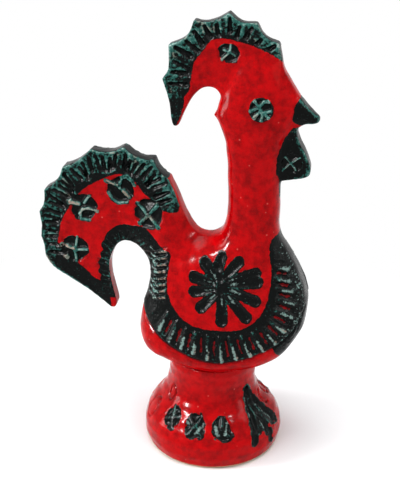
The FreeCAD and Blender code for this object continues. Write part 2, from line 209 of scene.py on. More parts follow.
@dataclass(frozen=True)
class Stroke:
    """A mark pressed with a rounded tool between two places, in mm."""

    start: Place
    end: Place
    width: float
    end_width: float
    depth: float = 0.0
    lip: float = 0.0
    fullness: float = 0.8
    lip_share: float = 1.12
    lip_spread: float = 0.26

    def measured(self, x: np.ndarray, z: np.ndarray) -> tuple[np.ndarray, np.ndarray]:
        """Measures places against the mark's middle line.

        Args:
            x: The places' distances along the rooster.
            z: Their heights.

        Returns:
            The distance to the middle line, and the mark's half width beside each place.
        """
        (ax, az), (bx, bz) = self.start, self.end
        dx, dz = bx - ax, bz - az
        part = np.clip(((x - ax) * dx + (z - az) * dz) / (dx * dx + dz * dz), 0, 1)
        gap = np.hypot(x - ax - part * dx, z - az - part * dz)
        return gap, (self.width + part * (self.end_width - self.width)) / 2

    def press(self, x: np.ndarray, z: np.ndarray) -> np.ndarray:
        """Presses the mark at places.

        Args:
            x: The places' distances along the rooster.
            z: Their heights.

        Returns:
            How deep the mark goes; the lip of clay beside it is negative.
        """
        gap, half = self.measured(x, z)
        share = gap / half
        bowl = np.clip(1 - share ** 2, 0, 1) ** self.fullness
        bank = np.exp(-((share - self.lip_share) / self.lip_spread) ** 2)
        return self.depth * bowl - self.lip * bank

    def inside_by(self, x: np.ndarray, z: np.ndarray) -> np.ndarray:
        """Tells how deep places lie inside the mark's outline, negative outside it."""
        gap, half = self.measured(x, z)
        return half - gap

    def box(self) -> tuple[Place, Place]:
        """Gives two corners of the field that the mark can reach.

        Returns:
            The low and the high corner.
        """
        reach = max(self.width, self.end_width)
        low = (min(self.start[0], self.end[0]) - reach, min(self.start[1], self.end[1]) - reach)
        high = (max(self.start[0], self.end[0]) + reach, max(self.start[1], self.end[1]) + reach)
        return low, high


@dataclass(frozen=True)
class Tool:
    """A rounded tool or, without depth, a brush; a negative depth leaves a ridge, in mm."""

    width: float
    end_width: float
    depth: float = 0.0
    lip: float = 0.0

    def stroke(self, start: Place, end: Place) -> Stroke:
        """Gives the mark that the tool leaves between two places."""
        return Stroke(tuple(start), tuple(end), self.width, self.end_width, self.depth, self.lip)


@dataclass(frozen=True)
class Stamp:
    """A round stamp, in mm: it sinks the lobes between its standing arms, or a disc without arms."""

    centre: Place
    radius: float
    degrees: float
    arms: int = 4
    depth: float = 1.5
    arm_width: float = 2.0
    stretch: float = 1.0
    wobble: float = 0.05
    lean: float = 0.04
    arm_height: float = 0.2
    edge_shares: Place = (0.82, 1.02)
    tip_shares: Place = (0.9, 1.1)
    reach_share: float = 1.6

    def polar(self, x: np.ndarray, z: np.ndarray) -> tuple[np.ndarray, np.ndarray]:
        """Gives distance from the centre and angle, in the stamp's own stretched disc."""
        dx, dz = (x - self.centre[0]) / self.stretch, z - self.centre[1]
        return np.hypot(dx, dz), np.arctan2(dz, dx) - math.radians(self.degrees)

    def press(self, x: np.ndarray, z: np.ndarray) -> np.ndarray:
        """Presses the stamp at places.

        Args:
            x: The places' distances along the rooster.
            z: Their heights.

        Returns:
            How deep the stamp goes; its standing arms are a little negative.
        """
        gap, angle = self.polar(x, z)
        lobe = 1 - ease(gap, self.radius * self.edge_shares[0], self.radius * self.edge_shares[1])
        if self.arms == 0:
            return self.depth * lobe
        swing = np.arccos(np.clip(np.cos(angle * self.arms), -1, 1)) / self.arms
        off_arm = gap * np.sin(swing)
        tip = 1 - ease(gap, self.radius * self.tip_shares[0], self.radius * self.tip_shares[1])
        arm = (1 - ease(off_arm, 0.0, self.arm_width * 0.6)) * tip
        sunk = ease(off_arm, self.arm_width * 0.35, self.arm_width * 0.9)
        return self.depth * lobe * sunk - self.arm_height * arm

    def inside_by(self, x: np.ndarray, z: np.ndarray) -> np.ndarray:
        """Tells how deep places lie inside the stamp's outline.

        Args:
            x: The places' distances along the rooster.
            z: Their heights.

        Returns:
            The depth in mm, negative outside the outline.
        """
        gap, angle = self.polar(x, z)
        lobed = 1.0 + self.wobble * np.cos(angle * max(3, self.arms)) + self.lean * np.sin(angle * 2)
        return self.radius * lobed - gap

    def box(self) -> tuple[Place, Place]:
        """Gives two corners of the field that the stamp can reach.

        Returns:
            The low and the high corner.
        """
        reach = self.radius * self.reach_share
        low = (self.centre[0] - reach, self.centre[1] - reach)
        high = (self.centre[0] + reach, self.centre[1] + reach)
        return low, high


class Skin:
    """The surface of a piece of clay as arrays, in mm about the foot's own axis."""

    def __init__(self, clay: bpy.types.Object) -> None:
        """Reads the surface.

        Args:
            clay: The object, at the origin and with its place in its mesh.
        """
        self.mesh = clay.data
        count = len(self.mesh.vertices)
        flat = np.empty(count * 3, np.float32)
        self.mesh.vertices.foreach_get("co", flat)
        self.place = flat.reshape(-1, 3).astype(float) / MM
        self.place[:, 0] -= FOOT_AXIS_X
        ends = np.empty(len(self.mesh.edges) * 2, np.int32)
        self.mesh.edges.foreach_get("vertices", ends)
        self.ends = ends.reshape(-1, 2)
        self.neighbours = np.bincount(ends, minlength=count).clip(1)

    def store(self) -> None:
        """Puts the places back into the mesh."""
        moved = self.place.copy()
        moved[:, 0] += FOOT_AXIS_X
        self.mesh.vertices.foreach_set("co", (moved * MM).astype(np.float32).ravel())
        self.mesh.update()

    def normals(self) -> np.ndarray:
        """Gives the outward directions.

        Returns:
            One direction for each point.
        """
        self.store()
        flat = np.empty(len(self.place) * 3, np.float32)
        self.mesh.vertex_normals.foreach_get("vector", flat)
        return flat.reshape(-1, 3).astype(float)

    def averaged(self, values: np.ndarray) -> np.ndarray:
        """Gives the mean of each point's neighbours.

        Args:
            values: One row for each point.

        Returns:
            The means, one row for each point.
        """
        count = len(self.place)
        first, second = self.ends[:, 0], self.ends[:, 1]
        total = np.empty_like(values)
        for axis in range(values.shape[1]):
            total[:, axis] = np.bincount(first, values[second, axis], count)
            total[:, axis] += np.bincount(second, values[first, axis], count)
        return total / self.neighbours[:, None]

    def smooth(self, rounds: int, share: float = 0.5, weight: np.ndarray | None = None) -> None:
        """Rubs the surface smooth.

        Args:
            rounds: How often it is rubbed.
            share: How far each point goes to its neighbours' mean each time.
            weight: How much each point takes part, or None for all alike.
        """
        amount = share if weight is None else share * weight[:, None]
        for _ in range(rounds):
            self.place += (self.averaged(self.place) - self.place) * amount

    def fill_creases(self, rounds: int, share: float) -> None:
        """Works wet clay into inner corners and leaves the outer ones as they are.

        Args:
            rounds: How often clay is added.
            share: How far each point rises to its neighbours' mean each time.
        """
        out = self.normals()
        for turn in range(rounds):
            if turn % 10 == 9:
                out = self.normals()
            step = self.averaged(self.place) - self.place
            lift = np.clip(np.einsum("ij,ij->i", step, out), 0, None)
            self.place += out * (lift * share)[:, None]

    def relief(self, rounds: int) -> np.ndarray:
        """Tells how far each point stands out.

        Args:
            rounds: How often the surface is smoothed to compare with.

        Returns:
            The height over the smoothed surface, in mm.
        """
        out = self.normals()
        smoothed = self.place.copy()
        for _ in range(rounds):
            smoothed += (self.averaged(smoothed) - smoothed) * 0.6
        return np.einsum("ij,ij->i", self.place - smoothed, out)

    def mark(self, name: str, values: np.ndarray) -> None:
        """Keeps a number for each point under a name that the glaze reads."""
        layer = self.mesh.attributes.new(name, "FLOAT", "POINT")
        layer.data.foreach_set("value", values.astype(np.float32))


def alone(piece: bpy.types.Object) -> None:
    """Makes a piece the only one selected, and the active one.

    Args:
        piece: The piece to select.
    """
    bpy.ops.object.select_all(action="DESELECT")
    piece.select_set(True)
    bpy.context.view_layer.objects.active = piece


def settle(piece: bpy.types.Object, name: str) -> bpy.types.Object:
    """Names a piece and puts its place into its mesh.

    Args:
        piece: The piece, placed, turned or scaled as an object.
        name: Its new name.

    Returns:
        The same piece.
    """
    alone(piece)
    piece.name = name
    piece.data.name = name
    bpy.ops.object.transform_apply(location=True, rotation=True, scale=True)
    return piece


def slab(name: str, edge: np.ndarray, half: float) -> bpy.types.Object:
    """Cuts a flat slab of clay to an outline.

    Args:
        name: The slab's name.
        edge: The outline seen from the side, in mm.
        half: Half the slab's thickness, in mm.

    Returns:
        The slab, half on each side of the middle plane.
    """
    bpy.ops.object.select_all(action="DESELECT")
    middle = edge.mean(axis=0)
    place = ((middle[0] + FOOT_AXIS_X) * MM, 0, middle[1] * MM)
    bpy.ops.mesh.primitive_circle_add(vertices=len(edge), radius=0.01, fill_type="NGON", location=place)
    piece = settle(bpy.context.object, name)
    flat = np.zeros((len(edge), 3), np.float32)
    flat[:, 0] = (edge[:, 0] + FOOT_AXIS_X) * MM
    flat[:, 1] = -half * MM
    flat[:, 2] = edge[:, 1] * MM
    piece.data.vertices.foreach_set("co", flat.ravel())
    bpy.ops.object.mode_set(mode="EDIT")
    bpy.ops.mesh.select_all(action="SELECT")
    bpy.ops.mesh.extrude_region_move(TRANSFORM_OT_translate={"value": (0, 2 * half * MM, 0)})
    bpy.ops.mesh.select_all(action="SELECT")
    bpy.ops.mesh.normals_make_consistent(inside=False)
    bpy.ops.object.mode_set(mode="OBJECT")
    return piece


def ringed(name: str, rows: tuple[tuple[float, ...], ...], around: int = 120,
           step: float = 1.2) -> bpy.types.Object:
    """Shapes a form from level rings.

    Args:
        name: The form's name.
        rows: Level, back, front, half width and squareness of each ring, in mm from the bottom up.
        around: Points round each ring.
        step: Height between the rings that are made, in mm.

    Returns:
        The closed form.
    """
    knots = np.array(rows, float)
    levels = np.linspace(knots[0, 0], knots[-1, 0], max(3, int((knots[-1, 0] - knots[0, 0]) / step)))
    table = np.stack([levels] + [np.interp(levels, knots[:, 0], knots[:, k]) for k in range(1, 5)], axis=1)
    bpy.ops.object.select_all(action="DESELECT")
    low, high = levels[0] * MM, levels[-1] * MM
    place = (FOOT_AXIS_X * MM, 0, (low + high) / 2)
    bpy.ops.mesh.primitive_cylinder_add(vertices=around, radius=0.02, depth=high - low, location=place)
    piece = settle(bpy.context.object, name)
    bpy.ops.object.mode_set(mode="EDIT")
    bpy.ops.mesh.select_mode(type="EDGE")
    bpy.ops.mesh.select_all(action="DESELECT")
    shape = bmesh.from_edit_mesh(piece.data)
    for edge in shape.edges:
        edge.select = bool(abs(edge.verts[0].co.z - edge.verts[1].co.z) > (high - low) / 2)
    bmesh.update_edit_mesh(piece.data)
    bpy.ops.mesh.subdivide(number_cuts=len(levels) - 2)
    bpy.ops.object.mode_set(mode="OBJECT")
    flat = np.empty(len(piece.data.vertices) * 3, np.float32)
    piece.data.vertices.foreach_get("co", flat)
    place_of = flat.reshape(-1, 3)
    ring = np.rint((place_of[:, 2] - low) / (high - low) * (len(levels) - 1)).astype(int)
    angle = np.arctan2(place_of[:, 1], place_of[:, 0] - FOOT_AXIS_X * MM)
    level, back, front, half_width, power = table[ring].T
    along = np.sign(np.cos(angle)) * np.abs(np.cos(angle)) ** (2 / power)
    across = np.sign(np.sin(angle)) * np.abs(np.sin(angle)) ** (2 / power)
    place_of[:, 0] = ((back + front) / 2 + (front - back) / 2 * along + FOOT_AXIS_X) * MM
    place_of[:, 1] = half_width * across * MM
    place_of[:, 2] = level * MM
    piece.data.vertices.foreach_set("co", place_of.ravel())
    piece.data.update()
    return piece


def one_clay(name: str, pieces: list[bpy.types.Object], grain: float) -> bpy.types.Object:
    """Works pieces of clay into one.

    Args:
        name: The name of the whole.
        pieces: The pieces, which overlap where they are luted.
        grain: The distance between the whole's points, in mm.

    Returns:
        The whole, with an even net of points.
    """
    alone(pieces[0])
    for piece in pieces[1:]:
        piece.select_set(True)
    if len(pieces) > 1:
        bpy.ops.object.join()
    whole = settle(bpy.context.object, name)
    net = whole.modifiers.new("even_net", "REMESH")
    net.mode = "VOXEL"
    net.voxel_size = grain * MM
    bpy.ops.object.modifier_apply(modifier=net.name)
    return whole


def parted(name: str, clay: bpy.types.Object, cutter: bpy.types.Object, cut: Cut) -> bpy.types.Object:
    """Cuts a copy of a piece of clay.

    Args:
        name: The new piece's name.
        clay: The clay to copy, which stays as it is.
        cutter: The closed form to cut with, which stays too.
        cut: Which side of the cutter is kept.

    Returns:
        The cut copy.
    """
    piece = clay.copy()
    piece.data = clay.data.copy()
    bpy.context.collection.objects.link(piece)
    settle(piece, name)
    tool = piece.modifiers.new("cut", "BOOLEAN")
    tool.operation = cut.value
    tool.solver = "MANIFOLD"
    tool.object = cutter
    bpy.ops.object.modifier_apply(modifier=tool.name)
    return piece


def thrown_away(*pieces: bpy.types.Object) -> None:
    """Removes forms that were only tools.

    Args:
        *pieces: The forms to remove.
    """
    for piece in pieces:
        mesh = piece.data
        bpy.data.objects.remove(piece)
        bpy.data.meshes.remove(mesh)


@dataclass(frozen=True)
class Fan:
    """A row of marks side by side along an edge, each pointing inwards, in mm.

    Attributes:
        share: Where the row starts and ends, as shares of the edge's length.
        count: The number of marks.
        inset: How far inside the edge a mark starts.
        length: A mark's length at the row's start and at its end.
        width: A mark's width at the edge and at its inner end.
        depth: How deep it is pressed; a negative depth is a ridge.
        slant: How far the marks lean, in degrees.
        seed: The seed of the hand's small differences.
    """

    share: tuple[float, float]
    count: int
    inset: float
    length: tuple[float, float]
    width: tuple[float, float]
    depth: float
    slant: float
    seed: int

    def along(self, path: np.ndarray) -> list[Stroke]:
        """Sets the marks along an edge.

        Args:
            path: The edge, with the clay on its left seen along it.

        Returns:
            The marks.
        """
        chance = np.random.default_rng(self.seed)
        steps = np.linalg.norm(np.diff(path, axis=0), axis=1)
        run = np.concatenate([[0.0], np.cumsum(steps)])
        strokes = []
        for index in range(self.count):
            part = index / max(1, self.count - 1)
            at = run[-1] * (self.share[0] + (self.share[1] - self.share[0]) * part) + chance.normal(0, 0.35)
            here = np.array([np.interp(at, run, path[:, k]) for k in (0, 1)])
            before = np.array([np.interp(at - FAN_REACH, run, path[:, k]) for k in (0, 1)])
            after = np.array([np.interp(at + FAN_REACH, run, path[:, k]) for k in (0, 1)])
            ahead = (after - before) / np.linalg.norm(after - before)
            lean = math.radians(self.slant + chance.normal(0, 4))
            inward = np.array([-ahead[1], ahead[0]])
            inward = inward * math.cos(lean) + ahead * math.sin(lean)
            start = here + inward * (self.inset + chance.normal(0, 0.3))
            length = self.length[0] + (self.length[1] - self.length[0]) * part
            end = start + inward * (length * chance.uniform(0.88, 1.1))
            size = chance.uniform(0.85, 1.15)
            tool = Tool(self.width[0] * size, self.width[1] * size, self.depth * size)
            strokes.append(tool.stroke(start, end))
        return strokes


def between(rows: list[Stroke], tool: Tool, shorter: float) -> list[Stroke]:
    """Sets a mark in each gap between neighbouring ones.

    Args:
        rows: The marks, in order.
        tool: The tool that makes the new marks.
        shorter: The share by which each is shorter at both ends.

    Returns:
        The new marks.
    """
    strokes = []
    for one, other in zip(rows, rows[1:]):
        start = (np.array(one.start) + other.start) / 2
        end = (np.array(one.end) + other.end) / 2
        along = (end - start) * shorter
        strokes.append(tool.stroke(start + along, end - along))
    return strokes


def pressed(x: np.ndarray, z: np.ndarray, marks: list[Stroke | Stamp]) -> np.ndarray:
    """Adds up marks at places seen from the side.

    Args:
        x: The places' distances along the rooster.
        z: Their heights.
        marks: Strokes and stamps.

    Returns:
        How deep the clay is pressed in at each place, in mm.
    """
    depth = np.zeros(len(x))
    for mark in marks:
        low, high = mark.box()
        near = np.flatnonzero((x > low[0]) & (x < high[0]) & (z > low[1]) & (z < high[1]))
        if len(near):
            depth[near] += mark.press(x[near], z[near])
    return depth


def covered(x: np.ndarray, z: np.ndarray, marks: list[Stroke | Stamp]) -> np.ndarray:
    """Tells how deep places lie inside the nearest mark's outline.

    Args:
        x: The places' distances along the rooster.
        z: Their heights.
        marks: Strokes and stamps.

    Returns:
        The depth in mm, negative outside all the marks.
    """
    inside = np.full(len(x), FAR_OUT)
    for mark in marks:
        inside = np.maximum(inside, mark.inside_by(x, z))
    return inside


@dataclass
class Figure:
    """The clay over the foot: belly, breast, neck, head, comb, tail, beak and wattle, luted into one."""

    # The body's rings: level, back, front, half width and squareness
    rings: tuple[tuple[float, ...], ...] = (
        (55.3, -24.7, 24.7, 24.7, 2.0), (57.0, -29.4, 29.0, 26.0, 2.1), (58.9, -34.0, 34.8, 27.2, 2.3),
        (61.4, -37.6, 38.4, 27.9, 2.6), (64.9, -40.4, 41.6, 28.0, 2.9), (68.9, -41.8, 44.6, 27.7, 3.0),
        (74.0, -42.0, 47.6, 26.7, 3.0), (80.0, -41.0, 50.7, 25.3, 3.0), (87.0, -39.4, 51.8, 23.9, 3.0),
        (94.5, -36.9, 51.9, 22.5, 3.0), (104.0, -35.2, 49.8, 20.7, 3.0), (112.0, -34.0, 47.0, 19.0, 2.9),
        (117.0, -27.0, 44.4, 17.6, 2.7), (121.0, -17.0, 42.0, 16.6, 2.6), (124.5, -8.0, 39.8, 15.4, 2.5),
        (128.0, -1.0, 37.4, 14.4, 2.4), (132.0, 3.6, 35.6, 13.6, 2.4), (137.8, 5.6, 34.6, 13.0, 2.4),
        (144.2, 6.5, 34.5, 12.6, 2.4), (155.0, 6.6, 34.6, 12.5, 2.4), (172.0, 6.6, 34.6, 12.5, 2.4),
        (183.5, 5.5, 35.6, 12.4, 2.4), (190.5, 3.0, 38.5, 12.0, 2.4), (197.5, 0.0, 41.8, 11.5, 2.3),
        (203.0, 1.8, 43.0, 11.2, 2.2), (208.0, 3.5, 42.0, 10.3, 2.1), (213.0, 5.0, 39.2, 9.0, 2.1),
        (219.0, 7.0, 36.0, 7.3, 2.1), (225.0, 10.0, 32.5, 5.4, 2.0), (231.0, 14.0, 28.5, 3.6, 2.0),
        (236.0, 18.0, 24.0, 2.0, 2.0),
    )

    # The slabs: their edges, half their thickness and their grooves
    comb_edge: tuple[Line, ...] = (
        ((-22.9, 191.4), (-23.6, 194.6), (-24.0, 199.8), (-25.2, 206.4), (-28.0, 215.0)),
        ((-28.0, 215.0), (-25.0, 219.6), (-24.4, 225.8), (-24.4, 233.0)),
        ((-24.4, 233.0), (-20.6, 234.6), (-15.4, 237.8), (-13.2, 241.4), (-11.3, 246.4)),
        ((-11.3, 246.4), (-6.3, 245.6), (-0.6, 246.8), (6.6, 250.6)),
        ((6.6, 250.6), (12.2, 246.4), (20.5, 245.9)),
        ((20.5, 245.9), (24.3, 239.4), (31.8, 236.2)),
        ((31.8, 236.2), (33.0, 229.4), (34.4, 223.6), (37.4, 218.2), (41.2, 211.6), (44.4, 207.1)),
    )
    jaw_edge: Line = (
        (44.4, 207.1), (44.0, 200.0), (42.0, 193.0), (40.0, 187.0), (22.0, 185.0), (6.0, 190.0),
        (-0.6, 197.5),
    )
    hook_edge: tuple[Line, ...] = (
        (
            (-0.6, 197.5), (1.8, 201.0), (3.4, 204.8), (2.9, 208.4), (0.3, 211.4), (-3.2, 212.2),
            (-6.9, 211.2), (-10.5, 208.2), (-14.0, 202.8), (-17.2, 195.8), (-18.4, 192.6),
        ),
        ((-18.4, 192.6), (-19.4, 190.6), (-21.0, 189.8), (-22.4, 190.2), (-22.9, 191.4)),
    )
    crest_half: float = 3.4
    comb_grooves: Fan = Fan((0.17, 0.85), 14, 2.8, (5.4, 8.6), (1.7, 3.4), 1.6, 0.0, PRESS_SEED + 1)
    frill_edge: tuple[Line, ...] = (
        ((-24.4, 160.6), (-27.4, 162.6), (-30.4, 165.6), (-32.9, 171.0)),
        ((-32.9, 171.0), (-37.6, 170.6), (-43.0, 172.3), (-49.0, 176.9)),
        ((-49.0, 176.9), (-55.0, 174.0), (-61.6, 173.6), (-67.0, 175.0)),
        ((-67.0, 175.0), (-70.2, 171.4), (-76.2, 166.6), (-83.2, 163.4)),
        ((-83.2, 163.4), (-84.8, 158.4), (-88.6, 153.4), (-94.0, 149.6)),
        ((-94.0, 149.6), (-94.3, 143.8), (-95.2, 139.8), (-97.6, 136.4)),
        ((-97.6, 136.4), (-96.8, 129.2), (-97.5, 121.6)),
        ((-97.5, 121.6), (-96.2, 115.4), (-95.8, 109.4)),
    )
    tail_low_edge: Line = (
        (-95.8, 109.4), (-91.4, 103.4), (-82.6, 97.4), (-71.2, 89.6), (-64.2, 83.8), (-61.6, 81.6),
    )
    tail_tip: Line = ((-61.6, 81.6), (-59.4, 79.9), (-57.0, 79.9), (-55.6, 81.8), (-55.8, 85.0))
    arch_edge: Line = (
        (-55.8, 85.0), (-57.2, 92.0), (-58.8, 100.0), (-59.2, 108.2), (-57.4, 114.4), (-55.2, 118.6),
        (-52.6, 121.4), (-48.8, 123.0), (-44.6, 121.8), (-40.2, 117.6), (-36.6, 111.4), (-34.8, 104.0),
    )
    tail_root: Line = ((-34.8, 104.0), (-20.0, 100.0), (10.0, 112.0), (12.0, 126.0), (5.6, 134.4))
    saddle_edge: Line = (
        (5.6, 134.4), (1.3, 130.8), (-3.6, 129.0), (-8.6, 130.0), (-12.6, 134.0), (-15.6, 139.3),
        (-18.6, 145.6), (-21.2, 153.0), (-24.4, 160.6),
    )
    tail_half: float = 4.5
    tail_grooves: Fan = Fan((0.035, 0.985), 31, 3.2, (7.4, 8.4), (1.9, 3.1), 1.6, 4.0, PRESS_SEED)
    arch_ridges: Fan = Fan((0.10, 0.86), 17, 1.8, (3.6, 3.8), (2.2, 1.8), 0.8, 14.0, PRESS_SEED + 2)
    root_edge: Line = (
        (5.6, 134.4), (1.3, 130.6), (-3.6, 128.6), (-8.6, 129.6), (-12.6, 133.4), (-16.2, 138.6),
        (-19.4, 145.6), (-22.4, 151.0), (-32.0, 150.0), (-48.0, 142.0), (-61.0, 129.0), (-59.4, 112.0),
        (-55.4, 118.2), (-48.8, 123.0), (-44.6, 121.8), (-40.2, 117.6), (-36.6, 111.4), (-34.8, 104.0),
        (-20.0, 100.0), (10.0, 112.0), (12.0, 126.0),
    )
    root_halves: Line = ((-62.0, 3.8), (-52.0, 4.6), (-42.0, 6.4), (-34.0, 9.0), (-24.0, 12.6), (0.0, 15.0))
    root_half: float = 15.0
    root_rounding: float = 14.0
    root_open_points: int = 12
    root_grain: float = 1.2
    torso_grain: float = 1.1
    beak_grain: float = 0.8
    beak_halves: Line = ((38.0, 1.0), (44.0, 0.92), (49.0, 0.66), (53.4, 0.36))
    beak_tops: Line = ((44.0, 209.0), (53.4, 198.4))
    beak_low: float = 195.0
    beak_roundness: float = 0.62
    beak_edge: Line = (
        (30.0, 206.6), (44.2, 207.6), (47.4, 204.2), (51.4, 200.2), (53.4, 198.2), (53.3, 196.4),
        (51.2, 195.2), (46.2, 194.8), (42.6, 192.6), (30.0, 192.0),
    )
    beak_half: float = 6.0
    wattle_edge: Line = (
        (28.0, 196.0), (42.4, 194.4), (42.6, 190.4), (44.2, 185.6), (46.8, 180.3), (48.8, 175.6),
        (50.2, 171.0), (49.6, 168.0), (46.8, 166.4), (40.6, 165.0), (34.0, 163.6), (28.0, 164.0),
    )
    wattle_half: float = 4.5
    rim: Line = (
        (-56.0, 118.0), (-46.0, 100.0), (-40.5, 89.5), (-35.5, 81.8), (-29.1, 76.0), (-23.0, 72.0),
        (-13.6, 67.6), (-3.0, 64.0), (5.0, 63.4), (15.8, 65.6), (22.8, 67.8), (29.0, 70.6), (35.1, 73.2),
        (39.6, 76.4), (43.6, 80.4), (47.0, 85.0), (50.0, 91.0), (54.0, 101.0), (58.0, 115.0),
    )

    # Where the black and the red meet
    red_field: Line = (
        (-88.0, 118.7), (-86.6, 125.9), (-84.9, 132.3), (-80.9, 139.5), (-73.2, 150.3), (-68.6, 154.0),
        (-60.1, 158.9), (-53.7, 161.4), (-48.0, 161.4), (-43.7, 158.4), (-38.2, 151.5), (-34.5, 148.4),
        (-28.8, 145.2), (-24.5, 143.1), (-19.4, 142.9), (-18.7, 145.6), (-20.0, 152.2), (-22.4, 160.6),
        (-16.0, 175.0), (60.0, 175.0), (60.0, 134.6), (36.5, 134.3), (33.5, 133.6), (31.6, 132.4),
        (31.0, 129.4), (31.1, 125.1), (32.1, 119.8), (32.7, 116.2), (32.7, 111.4), (32.4, 106.5),
        (31.4, 100.7), (29.8, 95.5), (26.9, 90.8), (23.3, 87.3), (18.3, 84.4), (12.0, 82.9), (5.5, 82.6),
        (-1.0, 82.8), (-6.9, 83.5), (-12.2, 85.8), (-16.3, 88.8), (-19.8, 92.8), (-22.0, 97.1),
        (-23.2, 100.7), (-23.4, 104.5), (-23.7, 108.0), (-23.2, 112.6), (-22.9, 116.5), (-22.3, 119.4),
        (-23.4, 121.6), (-26.3, 122.4), (-28.5, 124.4), (-31.5, 127.5), (-34.5, 130.8), (-38.0, 133.2),
        (-43.7, 132.8), (-51.4, 132.2), (-56.0, 130.1), (-59.4, 126.7), (-61.5, 123.0), (-62.9, 120.1),
        (-62.8, 115.9), (-64.6, 110.0), (-65.3, 102.8), (-64.2, 96.7), (-75.4, 105.5),
    )
    breast_field: Line = (
        (35.1, 73.6), (36.2, 70.6), (38.6, 66.6), (43.0, 62.0), (62.0, 58.0), (62.0, 134.4),
        (38.0, 134.4), (46.0, 112.0), (48.0, 98.0), (45.0, 84.0), (39.6, 77.4),
    )
    comb_field: Line = (
        (-21.2, 189.8), (-18.8, 194.6), (-17.0, 199.5), (-16.2, 202.7), (-15.8, 206.8), (-13.6, 209.9),
        (-12.7, 215.4), (-12.1, 220.4), (-10.9, 224.7), (-6.7, 230.4), (-1.3, 237.0), (2.8, 237.5),
        (7.6, 237.1), (12.3, 236.1), (17.7, 234.9), (23.0, 232.7), (27.8, 230.9), (31.4, 228.7),
        (34.4, 226.6), (40.0, 223.0), (50.0, 230.0), (50.0, 262.0), (-40.0, 262.0), (-40.0, 182.0),
        (-22.0, 182.0),
    )
    head_level: float = 178.0
    neck_level: float = 136.5
    neck_back: float = -14.0
    neck_bare: float = -20.0
    under_back: float = -45.0
    beak_field: Line = (
        (46.5, 212.0), (44.0, 209.8), (41.1, 205.7), (40.5, 201.3), (40.0, 197.5), (41.4, 195.9),
        (44.0, 194.4), (60.0, 190.0), (60.0, 212.0),
    )
    wattle_back: float = 30.0
    wattle_low: float = 150.0
    wattle_field: Line = (
        (43.5, 193.6), (40.2, 193.4), (37.6, 190.1), (35.1, 184.9), (33.4, 179.6), (32.7, 174.4),
        (32.8, 169.1), (34.0, 165.4), (34.2, 160.0), (34.2, 155.0), (60.0, 155.0), (60.0, 190.0),
    )

    # Where the pieces are parted
    tail_cut: Line = (
        (-16.0, 150.0), (-23.5, 138.0), (-31.5, 128.0), (-39.0, 117.0), (-44.0, 106.0), (-46.0, 60.0),
        (-120.0, 60.0), (-120.0, 190.0), (-16.0, 190.0),
    )
    jaw_level: float = 197.5
    head_cut: Line = (
        (-60.0, 180.0), (-6.0, 180.0), (-6.0, jaw_level), (70.0, jaw_level), (70.0, 270.0), (-60.0, 270.0),
    )
    bowl_floor: Line = ((58.0, 30.0), (-56.0, 30.0))
    half_cut: Line = ((-90.0, 30.0), (90.0, 30.0), (90.0, 230.0), (-90.0, 230.0))
    half_depth: float = 20.0
    slim_reach: float = 30.0
    head_reach: float = 40.0
    wide_reach: float = 50.0

    # How the clay is worked
    grain: float = 0.5
    rub_back: Place = (-66.0, -50.0)
    rub_front: float = 12.0
    rub_front_fade: float = 10.0
    rub_low: Place = (98.0, 112.0)
    rub_high: float = 164.0
    rub_high_fade: float = 12.0
    rub_rounds: int = 60
    rub_share: float = 0.6
    edge_rounds: int = 5
    joint_rounds: int = 70
    joint_share: float = 0.9
    broad_swell: Unevenness = Unevenness(3, 26.0, 0.28)
    small_swell: Unevenness = Unevenness(4, 9.0, 0.07)

    # The marks pressed into it
    petals: tuple[tuple[Place, Place], ...] = (
        ((5.9, 110.5), (4.2, 117.4)), ((6.2, 123.2), (4.2, 117.2)), ((8.4, 112.4), (15.2, 120.8)),
        ((10.7, 110.6), (24.2, 115.0)), ((12.0, 108.6), (25.6, 110.4)), ((11.6, 105.4), (25.0, 100.2)),
        ((10.4, 101.8), (20.4, 90.9)), ((6.9, 102.0), (7.5, 87.9)), ((3.0, 102.0), (-4.2, 94.6)),
        ((2.4, 105.0), (-8.0, 103.2)), ((2.2, 108.4), (-8.2, 111.0)), ((3.4, 111.0), (-2.8, 118.8)),
    )
    ribs: tuple[tuple[Place, Place], ...] = (
        ((-22.0, 88.6), (-26.9, 79.2)), ((-17.3, 84.6), (-20.8, 74.0)), ((-11.8, 81.6), (-14.6, 71.3)),
        ((-6.0, 79.9), (-7.7, 69.0)), ((0.5, 79.0), (-0.4, 66.2)), ((6.4, 79.0), (8.7, 65.6)),
        ((12.2, 79.4), (16.4, 67.4)), ((18.5, 80.6), (23.2, 69.4)), ((24.4, 82.6), (30.2, 72.0)),
        ((30.0, 85.6), (37.0, 76.8)), ((33.4, 90.2), (42.0, 83.2)), ((35.6, 95.8), (44.4, 91.2)),
        ((36.2, 101.6), (45.6, 98.4)), ((36.2, 107.4), (44.6, 105.0)), ((35.4, 112.8), (43.4, 110.6)),
        ((34.4, 118.6), (41.4, 116.6)),
    )
    crescents: tuple[float, ...] = (120.6, 116.8, 113.2, 109.6, 106.2, 102.6, 99.2, 95.6)
    dots: Line = (
        (37.4, 128.3), (41.4, 122.0), (44.9, 116.1), (47.0, 110.7), (48.2, 104.5), (48.6, 98.0),
        (47.8, 91.2), (45.9, 86.3), (42.9, 82.0), (39.0, 78.6),
    )
    stamps: tuple[Stamp, ...] = (
        Stamp((-78.4, 115.2), 8.1, -12.0, arms=0), Stamp((-72.4, 141.2), 8.0, 22.0, arms=0),
        Stamp((-51.3, 152.4), 7.7, 64.0, arms=0), Stamp((-35.3, 141.0), 8.0, 42.0, arms=0, stretch=1.08),
        Stamp((6.8, 230.4), 4.9, 60.0, arms=0, depth=1.0, stretch=1.18),
        Stamp((40.4, 174.0), 5.4, 40.0, arms=0, depth=0.8),
    )
